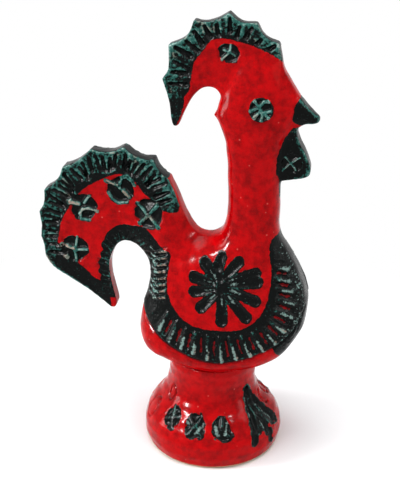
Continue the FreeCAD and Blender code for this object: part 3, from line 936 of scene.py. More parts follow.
    # Each coil's stamp, width and line about the stamp's centre
    coils: tuple[tuple[int, float, Line], ...] = (
        (0, 1.6, ((0.3, 0.0), (1.6, 7.4))), (0, 2.5, ((-0.5, 0.2), (-7.0, 2.2))),
        (0, 2.0, ((0.0, -0.6), (6.6, 0.1))), (0, 2.0, ((0.0, -0.7), (0.6, -7.0))),
        (0, 2.2, ((-6.6, -3.4), (-4.4, -5.4))), (1, 2.6, ((-7.6, 2.6), (-2.4, 1.5))),
        (1, 1.7, ((0.6, 2.4), (3.8, 6.8))),
        (1, 1.7, ((7.8, -2.0), (3.0, -0.8), (-0.4, -1.6), (-2.0, -4.2), (-1.2, -7.2), (3.4, -7.6))),
        (2, 2.0, ((-7.6, 5.2), (-1.3, 2.6))),
        (2, 1.7, ((-0.4, 1.0), (0.0, 4.4), (1.3, 7.6), (3.8, 8.2), (6.6, 6.0), (7.8, 3.4))),
        (2, 2.6, ((1.7, -0.5), (4.6, -3.6))),
        (2, 1.6, ((-6.4, -1.8), (-4.6, -5.4), (-1.4, -7.4), (3.6, -6.8))),
        (3, 2.0, ((-6.6, 4.6), (-0.8, -0.4))), (3, 2.1, ((4.6, 5.2), (0.2, -0.2))),
        (3, 2.1, ((-4.8, -5.8), (-0.4, -0.6))), (3, 2.1, ((5.8, -6.2), (0.4, -0.8))),
        (5, 1.0, ((-4.6, -3.8), (-0.6, 0.2), (4.2, 3.6))),
        (5, 1.0, ((-3.4, 3.4), (-0.6, 0.2), (2.2, -3.6))),
        (4, 1.3, ((-3.6, -3.4), (0.4, 0.4), (0.8, 4.2))),
        (4, 1.3, ((-2.6, 1.4), (0.4, 0.4), (3.2, -1.4))),
    )
    buff_coils: tuple[int, ...] = (1, 5, 8, 10)
    buff_coil_share: float = 0.6
    coil_height: float = 0.5
    petal_tool: Tool = Tool(3.4, 5.6, 0.9)
    petal_brush: Tool = Tool(5.8, 6.9)
    # Painted highlights: pale strokes along the petals' inner halves, where the glossy petals catch the
    # light
    petal_highlight: Tool = Tool(1.5, 0.8)
    rosette_heart: Stroke = Stroke((4.4, 105.6), (9.6, 106.8), 9.5, 9.5)
    rib_tool: Tool = Tool(2.6, 3.4, -0.75)
    # The rib ends break pale in the glaze and carry a painted highlight as well
    rib_pale_and_highlight: Tool = Tool(1.5, 2.7)
    rib_buff: Tool = Tool(0.5, 1.5)
    slit_tool: Tool = Tool(2.0, 1.6, 0.9, 0.05)
    slit_brush: Tool = Tool(1.5, 1.2)
    # Each mark's start and end, with heights over the crescent's level, and its tool
    crescent_marks: tuple[tuple[Place, Place, Tool], ...] = (
        ((-34.2, 1.8), (-30.6, -0.8), Tool(1.8, 1.8, -0.7)),
        ((-30.6, -0.8), (-24.8, 1.6), Tool(2.4, 2.8, -0.9)),
        ((-30.4, 1.0), (-25.0, 3.4), Tool(1.2, 1.2, 0.6)),
    )
    # Painted highlights: a pale stroke along the left end of each crescent
    crescent_highlight: tuple[tuple[Place, Place, Tool], ...] = (((-34.0, 1.6), (-29.0, -0.6), Tool(1.2, 1.4)),)
    crescent_buff: tuple[tuple[Place, Place, Tool], ...] = (((-29.6, -0.2), (-25.0, 1.4), Tool(1.0, 1.9)),)
    dot_tool: Tool = Tool(1.1, 1.1, -0.4)
    dot_offs: tuple[float, ...] = (-1.3, 0.0, 1.2)
    dot_step: float = 1.5
    dot_scatter: float = 0.4
    dot_length: float = 0.2
    rib_scatter: float = 0.45
    rim_step: float = 0.55
    rim_round: float = 0.5
    rim_groove: float = 0.9
    rim_groove_width: float = 0.7
    rim_half: float = 7.0
    rim_reach: float = 15.0
    rim_fade: float = 13.0
    facing: Place = (0.25, 0.6)
    frill_fade: Place = (0.2, 1.6)
    frill_reach: float = 12.0
    frill_front: float = 33.0
    frill_low: float = 105.0
    breast_back: float = 37.0
    breast_levels: Place = (74.0, 136.0)
    lumps: Unevenness = Unevenness(5, 2.7)
    lump_fade: Place = (0.6, 3.0)
    low_lumps: float = 0.08
    high_lumps: float = 0.11

    # How the black lies on the tail and in the stamps
    arch_wave: float = 0.7
    arch_wavelength: float = 4.6
    arch_wave_reach: float = 9.0
    arch_wave_fade: float = 4.0
    arch_wave_front: float = -34.0
    arch_wall_reach: float = 2.2
    arch_wall_facing: float = 0.72
    arch_wall_front: float = -36.0
    arch_black_half: float = 3.6
    saddle_wall_reach: float = 3.0
    saddle_wall_facing: float = 0.6
    saddle_wall_top: float = 161.0
    saddle_bare: float = -2.0
    tip_level: float = 86.2
    tip_back: float = -59.2
    tip_base: float = 86.0
    tip_slope: float = 0.1
    tip_front: float = -50.0
    tip_top: float = 92.0
    dab_edge: Unevenness = Unevenness(8, 5.5, 0.42)
    dab_inset: float = 0.2
    mark_facing: float = 0.35

    # Where the glaze runs thin
    worn_coil: float = 0.2
    worn_crest: float = 0.2
    worn_notch: float = 0.23
    worn_edge: float = 0.24
    worn_fade: Place = (-0.2, 0.5)
    worn_between: Place = (-0.7, 0.2)
    worn_reach: float = 8.0
    tail_back: Place = (-97.0, -84.0)
    tail_shares: Place = (0.35, 1.0)
    hook_low: float = 180.0
    hook_front: float = -8.0
    hook_levels: Place = (198.0, 212.0)
    hook_shares: Place = (0.1, 1.2)

    # What is worked on
    black: np.ndarray = field(default=None, repr=False)
    skin: Skin = field(default=None, repr=False)
    clay: bpy.types.Object = field(default=None, repr=False)

    def make_clay(self) -> None:
        """Builds every form of the figure and works them into one clay."""
        crest = outline(self.comb_edge + (self.jaw_edge,) + self.hook_edge)
        tail_runs = (self.tail_low_edge, self.tail_tip, self.arch_edge, self.tail_root, self.saddle_edge)
        beak = slab("beak_form", self.closed(self.beak_edge), self.beak_half)
        beak = one_clay("beak_form", [beak], self.beak_grain)
        self.taper_beak(beak)
        forms = [
            self.make_torso(),
            slab("crest_form", crest, self.crest_half),
            slab("tail_form", outline(self.frill_edge + tail_runs), self.tail_half),
            slab("wattle_form", self.closed(self.wattle_edge), self.wattle_half),
            beak,
        ]
        self.clay = one_clay("figure", forms, self.grain)
        self.skin = Skin(self.clay)
        log.info("figure: %d points", len(self.skin.place))

    def closed(self, edge: Line) -> np.ndarray:
        """Closes a smooth edge with a straight line from its end to its start."""
        return outline((edge, (edge[-1], edge[0])))

    def make_torso(self) -> bpy.types.Object:
        """Works the tail's thick root into the body and rubs the saddle between neck and tail round.

        Returns:
            The body with the tail's root.
        """
        edge = flowing(self.root_edge + self.root_edge[:1], 2.0)[:-1]
        root = one_clay("root_form", [slab("root_form", edge, self.root_half)], self.root_grain)
        skin = Skin(root)
        x, y, z = skin.place.T
        half = np.interp(x, *zip(*self.root_halves))
        gap, _ = to_line(x, z, flowing(self.root_edge[:self.root_open_points], 2.0))
        half = np.minimum(half, np.sqrt(self.tail_half ** 2 + self.root_rounding * gap) - 0.5)
        skin.place[:, 1] = y / self.root_half * half
        skin.store()
        torso = one_clay("body_form", [ringed("body_form", self.rings), root], self.torso_grain)
        skin = Skin(torso)
        x, _, z = skin.place.T
        near = ease(x, *self.rub_back) * ease(self.rub_front - x, 0.0, self.rub_front_fade)
        near = near * ease(z, *self.rub_low) * ease(self.rub_high - z, 0.0, self.rub_high_fade)
        skin.smooth(self.rub_rounds, self.rub_share, near)
        skin.store()
        return torso

    def taper_beak(self, beak: bpy.types.Object) -> None:
        """Draws the beak in towards its point and rounds its section.

        Args:
            beak: The beak's slab, worked in place.
        """
        skin = Skin(beak)
        x, y, z = skin.place.T
        half = np.interp(x, *zip(*self.beak_halves))
        top = np.interp(x, *zip(*self.beak_tops))
        middle = (top + self.beak_low) / 2
        off = np.clip(np.abs(z - middle) / np.maximum(1.0, top - middle), 0, 1)
        skin.place[:, 1] = y * half * np.sqrt(1 - self.beak_roundness * off ** 2)
        skin.store()

    def work_surface(self) -> None:
        """Rounds the edges, works the joints in and leaves the hand's unevenness."""
        skin = self.skin
        skin.smooth(self.edge_rounds)
        skin.fill_creases(self.joint_rounds, self.joint_share)
        skin.smooth(2)
        out = skin.normals()
        swell = self.broad_swell.at(skin.place) + self.small_swell.at(skin.place)
        skin.place += out * swell[:, None]

    def frill_marks(self) -> list[Stroke]:
        """Gives the grooves of the tail's and the comb's frills."""
        comb_path = outline(self.comb_edge)[::-1]
        return self.tail_grooves.along(self.frill_path()) + self.comb_grooves.along(comb_path)

    def frill_path(self) -> np.ndarray:
        """Gives the frilled edge of the tail, from the saddle's wall over the top to the low edge."""
        return np.concatenate([flowing(self.saddle_edge[-3:])[:-1], outline(self.frill_edge)])

    def arch_marks(self) -> list[Stroke]:
        """Gives the small notches round the arch under the tail."""
        return self.arch_ridges.along(flowing(self.arch_edge))

    def coil_marks(self, chosen: tuple[int, ...] | None = None, share: float = 1.0) -> list[Stroke]:
        """Gives the clay coils left standing in the stamps.

        Args:
            chosen: The coils that are wanted, or None for all.
            share: How much of the coils' width the strokes take.

        Returns:
            The coils as ridges.
        """
        marks = []
        for index, (stamp, width, places) in enumerate(self.coils):
            if chosen is not None and index not in chosen:
                continue
            line = np.array(self.stamps[stamp].centre) + np.array(places)
            height = self.stamps[stamp].depth + self.coil_height
            tool = Tool(width * 1.5 * share, width * 1.3 * share, -height)
            marks += [tool.stroke(one, other) for one, other in zip(line, line[1:])]
        return marks

    def body_marks(self) -> list[Stroke]:
        """Gives the strokes of rosette, border, crescents and dots on the body."""
        rows = self.rib_rows()
        marks = [self.petal_tool.stroke(start, end) for start, end in self.petals]
        slits = between(rows, self.slit_tool, 0.08)
        return marks + rows + slits + self.stacked(self.crescent_marks) + self.dot_marks()

    def stacked(self, marks: tuple[tuple[Place, Place, Tool], ...]) -> list[Stroke]:
        """Repeats marks at the level of each crescent.

        Args:
            marks: Start and end, with heights over the crescent's level, and the tool.

        Returns:
            The marks of all the crescents.
        """
        strokes = []
        for level in self.crescents:
            for start, end, tool in marks:
                strokes.append(tool.stroke((start[0], level + start[1]), (end[0], level + end[1])))
        return strokes

    def dot_marks(self) -> list[Stroke]:
        """Gives the small dots that stipple the breast's edge.

        Returns:
            The dots as short ridges.
        """
        chance = np.random.default_rng(PRESS_SEED + 3)
        marks = []
        for x, z in flowing(self.dots, self.dot_step):
            for off in self.dot_offs:
                dx, dz = chance.normal(0, self.dot_scatter, 2)
                here = (x + off + dx, z + dz)
                marks.append(self.dot_tool.stroke(here, (here[0] + self.dot_length, here[1])))
        return marks

    def rib_rows(self) -> list[Stroke]:
        """Gives the border's ribs, each a little off as a hand sets them.

        Returns:
            The ribs as ridges, in order round the border.
        """
        chance = np.random.default_rng(PRESS_SEED + 4)
        rows = []
        for start, end in self.ribs:
            lean = chance.normal(0, self.rib_scatter, 2)
            rows.append(self.rib_tool.stroke((start[0] + lean[0], start[1]), (end[0] + lean[1], end[1])))
        return rows

    def press_marks(self) -> None:
        """Presses every mark into both sides."""
        skin = self.skin
        self.black = self.black_depth()
        out = skin.normals()
        x, _, z = skin.place.T
        facing = ease(np.abs(out[:, 1]), *self.facing)
        frills = pressed(x, z, self.frill_marks()) * ease(self.black, *self.frill_fade)
        stamps = np.maximum(pressed(x, z, list(self.stamps) + self.coil_marks()), -self.coil_height)
        depth = (pressed(x, z, self.arch_marks() + self.body_marks()) + stamps + frills) * facing
        gap, _ = to_line(x, z, flowing(self.rim))
        below = self.below_rim(x, z)
        step = self.rim_step * ease(-below, -self.rim_round, self.rim_round)
        step = step - self.rim_groove * np.exp(-(below / self.rim_groove_width) ** 2)
        step *= (np.abs(skin.place[:, 1]) > self.rim_half) * ease(self.rim_reach - gap, 0.0, self.rim_fade)
        breast = (x > self.breast_back) & (z > self.breast_levels[0]) & (z < self.breast_levels[1])
        rugged = np.maximum(self.near_frill(x, z, self.frill_reach), breast)
        rough = self.low_lumps + self.high_lumps * rugged
        lumps = self.lumps.at(skin.place) * ease(self.black, *self.lump_fade) * rough
        skin.place -= out * (depth - step - lumps * facing)[:, None]
        skin.smooth(1)

    def near_frill(self, x: np.ndarray, z: np.ndarray, reach: float) -> np.ndarray:
        """Tells how near places are to the frilled edges of tail and comb.

        Args:
            x: The places' distances along the rooster.
            z: Their heights.
            reach: Where it has faded out, in mm.

        Returns:
            1 beside the edges, down to 0.
        """
        share = np.zeros(len(x))
        for path in (self.frill_path(), outline(self.comb_edge)):
            gap, _ = to_line(x, z, path[::2])
            share = np.maximum(share, ease(reach - gap, 0.0, reach * 0.4))
        return share * np.where((x > self.frill_front) | (z < self.frill_low), 0.0, 1.0)

    def bowl_outline(self, step: float) -> np.ndarray:
        """Gives the closed outline of the bowl under its rim, with points a step apart."""
        return np.concatenate([flowing(self.rim, step), np.array(self.bowl_floor)])

    def below_rim(self, x: np.ndarray, z: np.ndarray) -> np.ndarray:
        """Tells how far places lie under the bowl's rim, in mm, negative over it."""
        return inside_by(x, z, self.bowl_outline(1.5))

    def black_depth(self) -> np.ndarray:
        """Tells how deep the clay's points lie inside the black glaze.

        Returns:
            The depth in mm, negative in the red.
        """
        skin = self.skin
        x, y, z = skin.place.T
        out = skin.normals()
        black = self.body_black(x, z)
        arch_gap, arch_run = to_line(x, z, flowing(self.arch_edge))
        wave = self.arch_wave * np.cos(arch_run * (2 * math.pi / self.arch_wavelength))
        near_arch = ease(self.arch_wave_reach - arch_gap, 0.0, self.arch_wave_fade)
        black += wave * near_arch * (x < self.arch_wave_front)
        facing = np.abs(out[:, 1])
        inner = (arch_gap < self.arch_wall_reach) & (facing < self.arch_wall_facing)
        inner = inner & (x < self.arch_wall_front)
        black = np.where(inner, np.minimum(black, np.abs(y) - self.arch_black_half), black)
        wall_gap, _ = to_line(x, z, flowing(self.saddle_edge, 2.0))
        wall = (wall_gap < self.saddle_wall_reach) & (facing < self.saddle_wall_facing)
        wall = wall & (z < self.saddle_wall_top)
        black = np.where(wall, np.minimum(black, self.saddle_bare), black)
        drop = np.minimum(self.tip_level - z, x - self.tip_back - (self.tip_base - z) * self.tip_slope)
        tip = (x < self.tip_front) & (z < self.tip_top)
        black = np.where(tip, np.minimum(black, -drop), black)
        high = z >= self.head_level
        front = (x > self.wattle_back) & (z > self.wattle_low)
        for places, line in ((high, self.comb_field), (high, self.beak_field), (front, self.wattle_field)):
            field_depth = inside_by(x[places], z[places], flowing(line, 1.5))
            black[places] = np.maximum(black[places], field_depth)
        dabs = covered(x, z, list(self.stamps)) + self.dab_edge.at(skin.place) - self.dab_inset
        strokes = [self.petal_brush.stroke(start, end) for start, end in self.petals]
        dabs = np.maximum(dabs, covered(x, z, strokes + [self.rosette_heart] + self.coil_marks()))
        return np.where(facing > self.mark_facing, np.maximum(black, dabs), black)

    def body_black(self, x: np.ndarray, z: np.ndarray) -> np.ndarray:
        """Tells how deep places lie inside the black of body and tail, without its small marks.

        Args:
            x: The places' distances along the rooster.
            z: Their heights.

        Returns:
            The depth in mm, negative in the red.
        """
        black = np.full(len(x), FAR_OUT)
        low = z < self.head_level
        red = flowing(self.red_field + self.red_field[:1], 1.5)[:-1]
        black[low] = -inside_by(x[low], z[low], red)
        neck = low & (z > self.neck_level) & (x > self.neck_back)
        black[neck] = self.neck_bare
        body = low & (x > self.under_back) & (z < self.neck_level)
        under = np.full(len(x), FAR_OUT)
        under[body] = self.below_rim(x[body], z[body])
        black = np.where(body, np.minimum(black, -under), black)
        breast = inside_by(x, z, np.array(self.breast_field))
        black = np.where(body, np.maximum(black, breast), black)
        gap = covered(x, z, between(self.rib_rows(), self.slit_brush, 0.2))
        bare_slit = np.where(gap > 0, gap * 0.5, gap) - 0.1
        return np.minimum(black, -bare_slit)

    def glaze_marks(self) -> None:
        """Keeps for the glazes where the black lies, where it breaks pale and where pale highlights are
        painted on it, and how the surface stands.
        """
        skin = self.skin
        x, _, z = skin.place.T
        faces = np.abs(skin.normals()[:, 1]) > 0.2
        skin.mark("black", self.black)
        # The pale marks hold pale glaze and painted highlights alike
        skin.mark("pale", np.where(faces, covered(x, z, self.pale_and_highlight_strokes()), FAR_OUT))
        skin.mark("buff", np.where(faces, covered(x, z, self.buff_strokes()), FAR_OUT))
        skin.mark("ridge", skin.relief(6) + self.worn_edges(x, z) * faces)
        skin.mark("swell", skin.relief(36))
        skin.mark("kept", np.ones(len(x)))

    def pale_and_highlight_strokes(self) -> list[Stroke]:
        """Gives the pale strokes: dots of light blue-green glaze, rib ends that break pale and carry a
        painted highlight, and painted highlights on the petals and the crescents.

        Returns:
            The strokes.
        """
        strokes = self.dot_marks()
        # The rib ends: pale glaze with a painted highlight
        for one in self.rib_rows():
            near = np.array(one.end) * 0.4 + np.array(one.start) * 0.6
            strokes.append(self.rib_pale_and_highlight.stroke(near, one.end))
        # Painted highlights on the petals
        for start, end in self.petals[3:]:
            strokes.append(self.petal_highlight.stroke(start, np.array(start) * 0.5 + np.array(end) * 0.5))
        # and painted highlights on the crescents
        return strokes + self.stacked(self.crescent_highlight)

    def buff_strokes(self) -> list[Stroke]:
        """Gives the strokes in which the clay shows through.

        Returns:
            The strokes.
        """
        strokes = self.coil_marks(self.buff_coils, self.buff_coil_share) + self.stacked(self.crescent_buff)
        for one in self.rib_rows()[3:11]:
            middle = (np.array(one.start) + one.end) / 2
            strokes.append(self.rib_buff.stroke(middle + (0.5, 0.0), (one.end[0] + 0.6, one.end[1] + 0.6)))
        return strokes

    def worn_edges(self, x: np.ndarray, z: np.ndarray) -> np.ndarray:
        """Tells where the glaze runs thin on edges and ridges.

        Args:
            x: The places' distances along the rooster.
            z: Their heights.

        Returns:
            What is added to the relief there, in mm.
        """
        coils = ease(covered(x, z, self.coil_marks()), *self.worn_fade) * self.worn_coil
        uncut = 1 - ease(covered(x, z, self.frill_marks()), *self.worn_between)
        crests = self.near_frill(x, z, self.worn_reach) * uncut * self.worn_crest
        hook = (z > self.hook_low) & (x < self.hook_front)
        near_hook = np.where(hook, np.interp(z, self.hook_levels, self.hook_shares), self.hook_shares[1])
        crests *= np.interp(x, self.tail_back, self.tail_shares) * near_hook
        ridges = ease(covered(x, z, self.arch_marks()), *self.worn_fade) * self.worn_notch
        for path, width in ((self.tail_low_edge, 1.5), (self.beak_edge, 1.3), (self.wattle_edge[1:9], 2.6)):
            gap, _ = to_line(x, z, flowing(path))
            ridges = np.maximum(ridges, self.worn_edge * ease(width - gap, 0.0, width * 0.5))
        return coils + crests + ridges * (self.black > 0)

    def part(self) -> dict[str, bpy.types.Object]:
        """Parts the figure along its real joints.

        Returns:
            The pieces by the name of the node that each stands for.
        """
        cuts = {
            "comb": (flowing(self.comb_field, 2.0), self.slim_reach),
            "beak": (np.array(self.beak_field), self.slim_reach),
            "wattle": (np.array(self.wattle_field), self.slim_reach),
            "head": (np.array(self.head_cut), self.head_reach),
            "tail": (np.array(self.tail_cut), self.wide_reach),
            "belly_bowl": (self.bowl_outline(2.0), self.wide_reach),
        }
        pieces = {}
        rest = self.clay
        for name, (edge, reach) in cuts.items():
            cutter = slab(f"{name}_cut", edge, reach)
            pieces[name] = parted(name, rest, cutter, Cut.INSIDE)
            left = parted("rest", rest, cutter, Cut.OUTSIDE)
            thrown_away(rest, cutter)
            rest = left
        half = slab("half_cut", np.array(self.half_cut), self.half_depth)
        flat = np.empty(len(half.data.vertices) * 3, np.float32)
        half.data.vertices.foreach_get("co", flat)
        flat[1::3] = (flat[1::3] - np.float32(self.half_depth * MM)) * 2
        half.data.vertices.foreach_set("co", flat)
        half.data.update()
        pieces["side_right"] = parted("side_right", rest, half, Cut.INSIDE)
        pieces["side_left"] = parted("side_left", rest, half, Cut.OUTSIDE)
        thrown_away(rest, half)
        return pieces


@dataclass
class Foot:
    """The thrown foot, hollow and open below, with stamps and a leaf pressed into it."""

    # Each ring's level, radius and lean
    rings: tuple[tuple[float, float, float], ...] = (
        (0.0, 37.0, -0.5), (1.2, 38.0, -0.6), (3.0, 38.7, -0.6), (6.0, 39.3, -0.7), (8.9, 39.6, -0.8),
        (14.0, 39.0, -1.1), (18.9, 37.2, -1.5), (24.0, 33.8, -1.8), (28.9, 29.4, -2.0),
        (34.0, 26.0, -1.9), (38.9, 24.6, -1.7), (44.3, 24.2, -1.3), (49.0, 24.3, -0.8),
        (55.3, 24.6, -0.3),
    )
    wall: float = 6.0
    grain: float = 0.6
    # Each stamp's degrees round the foot, level, radius, turn and arms
    stamps: tuple[tuple[float, float, float, float, int], ...] = (
        (-122.7, 25.2, 5.4, 20.0, 4), (-96.4, 24.3, 6.0, 50.0, 4), (-70.5, 23.3, 5.8, 75.0, 3),
    )
    # Each light streak's start and end, in degrees and level, and its width
    streaks: tuple[tuple[float, float, float, float, float], ...] = (
        (-122.7, 28.4, -122.7, 21.0, 1.3), (-95.6, 20.8, -88.6, 25.4, 1.9),
        (-104.8, 25.2, -103.6, 24.4, 2.2), (-69.0, 20.6, -62.6, 26.8, 1.9),
        (-76.0, 24.0, -75.0, 20.6, 2.4), (-30.0, 33.0, -38.4, 20.0, 1.2), (-21.0, 30.0, -12.0, 18.0, 1.2),
        (-27.0, 28.0, -28.0, 15.0, 1.0),
    )
    far_turn: float = 14.0
    side_radius: float = 33.0
    points_round: int = 144
    square_top: float = 53.5
    hand_swell: Unevenness = Unevenness(7, 24.0, 0.3)
    brush_edge: Unevenness = Unevenness(9, 3.4, 0.55)
    throw_wave: float = 0.1
    throw_pitch: float = 6.5
    bare_height: float = 1.5
    stamp_depth: float = 1.3
    stamp_arm: float = 2.1
    stamp_wobble: float = 0.07
    leaf_depth: float = 0.9
    leaf_lip: float = 0.2
    ring_points: int = 14
    ring_stretch: float = 1.2
    ring_tool: Tool = Tool(1.4, 1.4, 0.75)
    # Each thumb ring's degrees, level and radius
    thumb_rings: tuple[tuple[float, float, float], ...] = (
        (-156.0, 22.5, 4.6), (-139.0, 35.4, 3.4), (-2.0, 28.4, 3.2),
    )
    # Each leaf stroke's start and end, in degrees and level, and its width at both
    leaf: tuple[tuple[Place, Place, float, float], ...] = (
        ((-26.5, 38.6), (-22.5, 8.5), 4.4, 4.0), ((-29.0, 38.0), (-43.0, 12.5), 6.0, 3.6),
        ((-28.0, 37.0), (-32.5, 19.5), 7.0, 7.0), ((-26.0, 30.0), (-27.0, 14.0), 5.0, 3.0),
        ((-33.0, 32.0), (-37.5, 18.5), 5.0, 4.0), ((-24.0, 36.5), (-8.0, 16.5), 5.0, 5.0),
        ((-22.0, 30.0), (-13.0, 17.5), 6.0, 6.0),
    )

    def make(self) -> bpy.types.Object:
        """Throws the foot, presses its marks and keeps its glaze marks.

        Returns:
            The foot.
        """
        foot = self.thrown()
        skin = Skin(foot)
        top = skin.place[:, 2] > self.square_top
        skin.smooth(4, weight=np.where(top, 0.0, 1.0))
        out = skin.normals()
        height = skin.place[:, 2]
        swell = self.hand_swell.at(skin.place)
        swell = swell + self.throw_wave * np.cos(height * (2 * math.pi / self.throw_pitch))
        swell *= ease(self.rings[-1][0] - height, 0.5, 4.0) * ease(height, 1.0, 5.0)
        skin.place += out * swell[:, None]
        around, up, radius = self.unrolled(skin)
        away = skin.place[:, :2] / np.maximum(1.0, radius)[:, None]
        outer = ease(np.einsum("ij,ij->i", out[:, :2], away), 0.1, 0.4)
        stamps, leaf, brushed = self.stamp_marks(), self.leaf_marks(), self.leaf_brush()
        depth = pressed(around, up, stamps + leaf + self.ring_marks()) * outer
        skin.place -= out * depth[:, None]
        skin.smooth(1)
        outside = outer > 0.3
        black = np.where(outside, covered(around, up, stamps + brushed), FAR_OUT)
        skin.mark("black", black + self.brush_edge.at(skin.place))
        skin.mark("pale", np.where(outside, covered(around, up, self.light_strokes()), FAR_OUT))
        skin.mark("ridge", skin.relief(6))
        skin.mark("swell", skin.relief(36))
        skin.mark("bare", np.where(outside, self.bare_height - height, 3.0 - 0.2 * height))
        log.info("foot: %d points", len(skin.place))
        return foot

    def thrown(self) -> bpy.types.Object:
        """Throws the plain hollow foot.

        Returns:
            The foot without marks, open below.
        """
        rows = [(level, lean - radius, lean + radius, radius, 2.0) for level, radius, lean in self.rings]
        wall = self.wall
        hollow = [(level, back + wall, front - wall, half - wall, 2.0)
                  for level, back, front, half, _ in rows]
        hollow = [(-3.0,) + hollow[0][1:]] + hollow[1:-1] + [(57.0,) + hollow[-1][1:]]
        solid = ringed("foot_form", tuple(rows), self.points_round)
        tool = ringed("foot_hollow", tuple(hollow), self.points_round)
        tube = parted("foot_tube", solid, tool, Cut.OUTSIDE)
        thrown_away(solid, tool)
        return one_clay("foot", [tube], self.grain)

    def unrolled(self, skin: Skin) -> tuple[np.ndarray, np.ndarray, np.ndarray]:
        """Lays the foot's side out flat.

        Args:
            skin: The foot's surface.

        Returns:
            Distance round the foot, height, and radius for each point.
        """
        x, y, z = skin.place.T
        lean = np.interp(z, [row[0] for row in self.rings], [row[2] for row in self.rings])
        angle = np.degrees(np.arctan2(-np.abs(y), x - lean)) + np.where(y > 0, self.far_turn, 0.0)
        return np.radians(angle) * self.side_radius, z, np.hypot(x - lean, y)

    def spot(self, degrees: float, level: float) -> Place:
        """Gives a place on the side that is laid out flat."""
        return math.radians(degrees) * self.side_radius, level

    def stamp_marks(self) -> list[Stamp]:
        """Gives the stamps pressed into the foot.

        Returns:
            The stamps.
        """
        stamps = []
        for degrees, level, radius, turn, arms in self.stamps:
            centre = self.spot(degrees, level)
            stamps.append(Stamp(centre, radius, turn, arms, self.stamp_depth, self.stamp_arm,
                                wobble=self.stamp_wobble))
        return stamps

    def leaf_marks(self) -> list[Stroke]:
        """Gives the leaf's strokes as they are pressed."""
        return [Stroke(self.spot(*start), self.spot(*end), width, end_width, self.leaf_depth, self.leaf_lip)
                for start, end, width, end_width in self.leaf]

    def leaf_brush(self) -> list[Stroke]:
        """Gives the leaf's strokes as they are painted, a little wider."""
        return [Stroke(self.spot(*start), self.spot(*end), width + 1.4, end_width + 0.6)
                for start, end, width, end_width in self.leaf]

    def light_strokes(self) -> list[Stroke]:
        """Gives the strokes in which the black breaks to a light blue-green."""
        return [Stroke(self.spot(start, low), self.spot(end, high), width, width)
                for start, low, end, high, width in self.streaks]

    def ring_marks(self) -> list[Stroke]:
        """Gives the rings that a thumb leaves in the red.

        Returns:
            The rings as short strokes.
        """
        marks = []
        for degrees, level, radius in self.thumb_rings:
            middle = self.spot(degrees, level)
            turns = [2 * math.pi * step / self.ring_points for step in range(self.ring_points + 1)]
            rim = [(middle[0] + radius * math.cos(turn),
                    middle[1] + radius * self.ring_stretch * math.sin(turn)) for turn in turns]
            marks += [self.ring_tool.stroke(one, other) for one, other in zip(rim, rim[1:])]
        return marks


@dataclass
class Eye:
    """A stamped pellet on one cheek."""

    side: int
    centre: tuple[float, float] = (24.6, 204.3)
    reach: float = 10.7
    radius: float = 6.3
    half: float = 1.7
    lean_degrees: float = 7.0
    grain: float = 0.28
    points_round: int = 64
    disc_share: float = 0.88
    disc_depth: float = 1.0
    coil_tool: Tool = Tool(2.1, 2.1, -1.15)
    coil_height: float = 0.3
    swell_seed: int = 20
    swell_wavelength: float = 5.0
    swell_height: float = 0.12
    coils: tuple[Line, ...] = (
        ((-3.4, 4.6), (-1.2, 1.2), (0.8, -1.6), (0.4, -5.2)), ((-1.2, 1.2), (1.4, 4.2), (3.6, 4.4)),
        ((-1.2, 1.2), (-5.4, -0.8)), ((0.8, -1.6), (4.8, -0.4)), ((-0.2, -0.4), (-3.4, -4.2)),
        ((1.6, -1.8), (4.0, -3.8)),
    )

    def make(self) -> bpy.types.Object:
        """Presses a star into a pellet and sets it on the cheek.

        Returns:
            The eye.
        """
        bpy.ops.object.select_all(action="DESELECT")
        bpy.ops.mesh.primitive_cylinder_add(vertices=self.points_round, radius=self.radius * MM,
                                            depth=2 * self.half * MM, location=(FOOT_AXIS_X * MM, 0, 0))
        name = "eye_right" if self.side < 0 else "eye_left"
        eye = one_clay(name, [settle(bpy.context.object, name)], self.grain)
        skin = Skin(eye)
        skin.smooth(5)
        x, y, z = skin.place.T
        face = ease(z, 0.3, 0.9)
        disc = Stamp((0.0, 0.0), self.radius * self.disc_share, 15.0, arms=0, depth=self.disc_depth)
        coils = [self.coil_tool.stroke(one, other)
                 for line in self.coils for one, other in zip(line, line[1:])]
        skin.place[:, 2] -= np.maximum(pressed(x, y, [disc] + coils), -self.coil_height) * face
        swell = Unevenness(self.swell_seed + self.side, self.swell_wavelength, self.swell_height)
        skin.place += skin.normals() * swell.at(skin.place)[:, None]
        skin.smooth(1)
        skin.mark("black", np.where(z > 0.2, self.radius + 0.2 - np.hypot(x, y), -2.0))
        skin.mark("ridge", skin.relief(8) + 0.5 * ease(covered(x, y, coils), -0.3, 0.3) - 0.1)
        skin.mark("swell", skin.relief(36))
        self.set_on_cheek(skin)
        alone(eye)
        bpy.ops.object.mode_set(mode="EDIT")
        bpy.ops.mesh.select_all(action="SELECT")
        bpy.ops.mesh.normals_make_consistent(inside=False)
        bpy.ops.object.mode_set(mode="OBJECT")
        return eye

    def set_on_cheek(self, skin: Skin) -> None:
        """Turns the pellet upright, leans it and moves it to its cheek.

        Args:
            skin: The pellet's surface, still lying flat.
        """
        lean = math.radians(self.lean_degrees)
        flat = skin.place.copy()
        up = flat[:, 1] * math.cos(lean) + flat[:, 2] * math.sin(lean)
        out = flat[:, 2] * math.cos(lean) - flat[:, 1] * math.sin(lean)
        skin.place[:, 0] = flat[:, 0] * -self.side + self.centre[0]
        skin.place[:, 1] = self.side * (out + self.reach)
        skin.place[:, 2] = up + self.centre[1]
        skin.store()


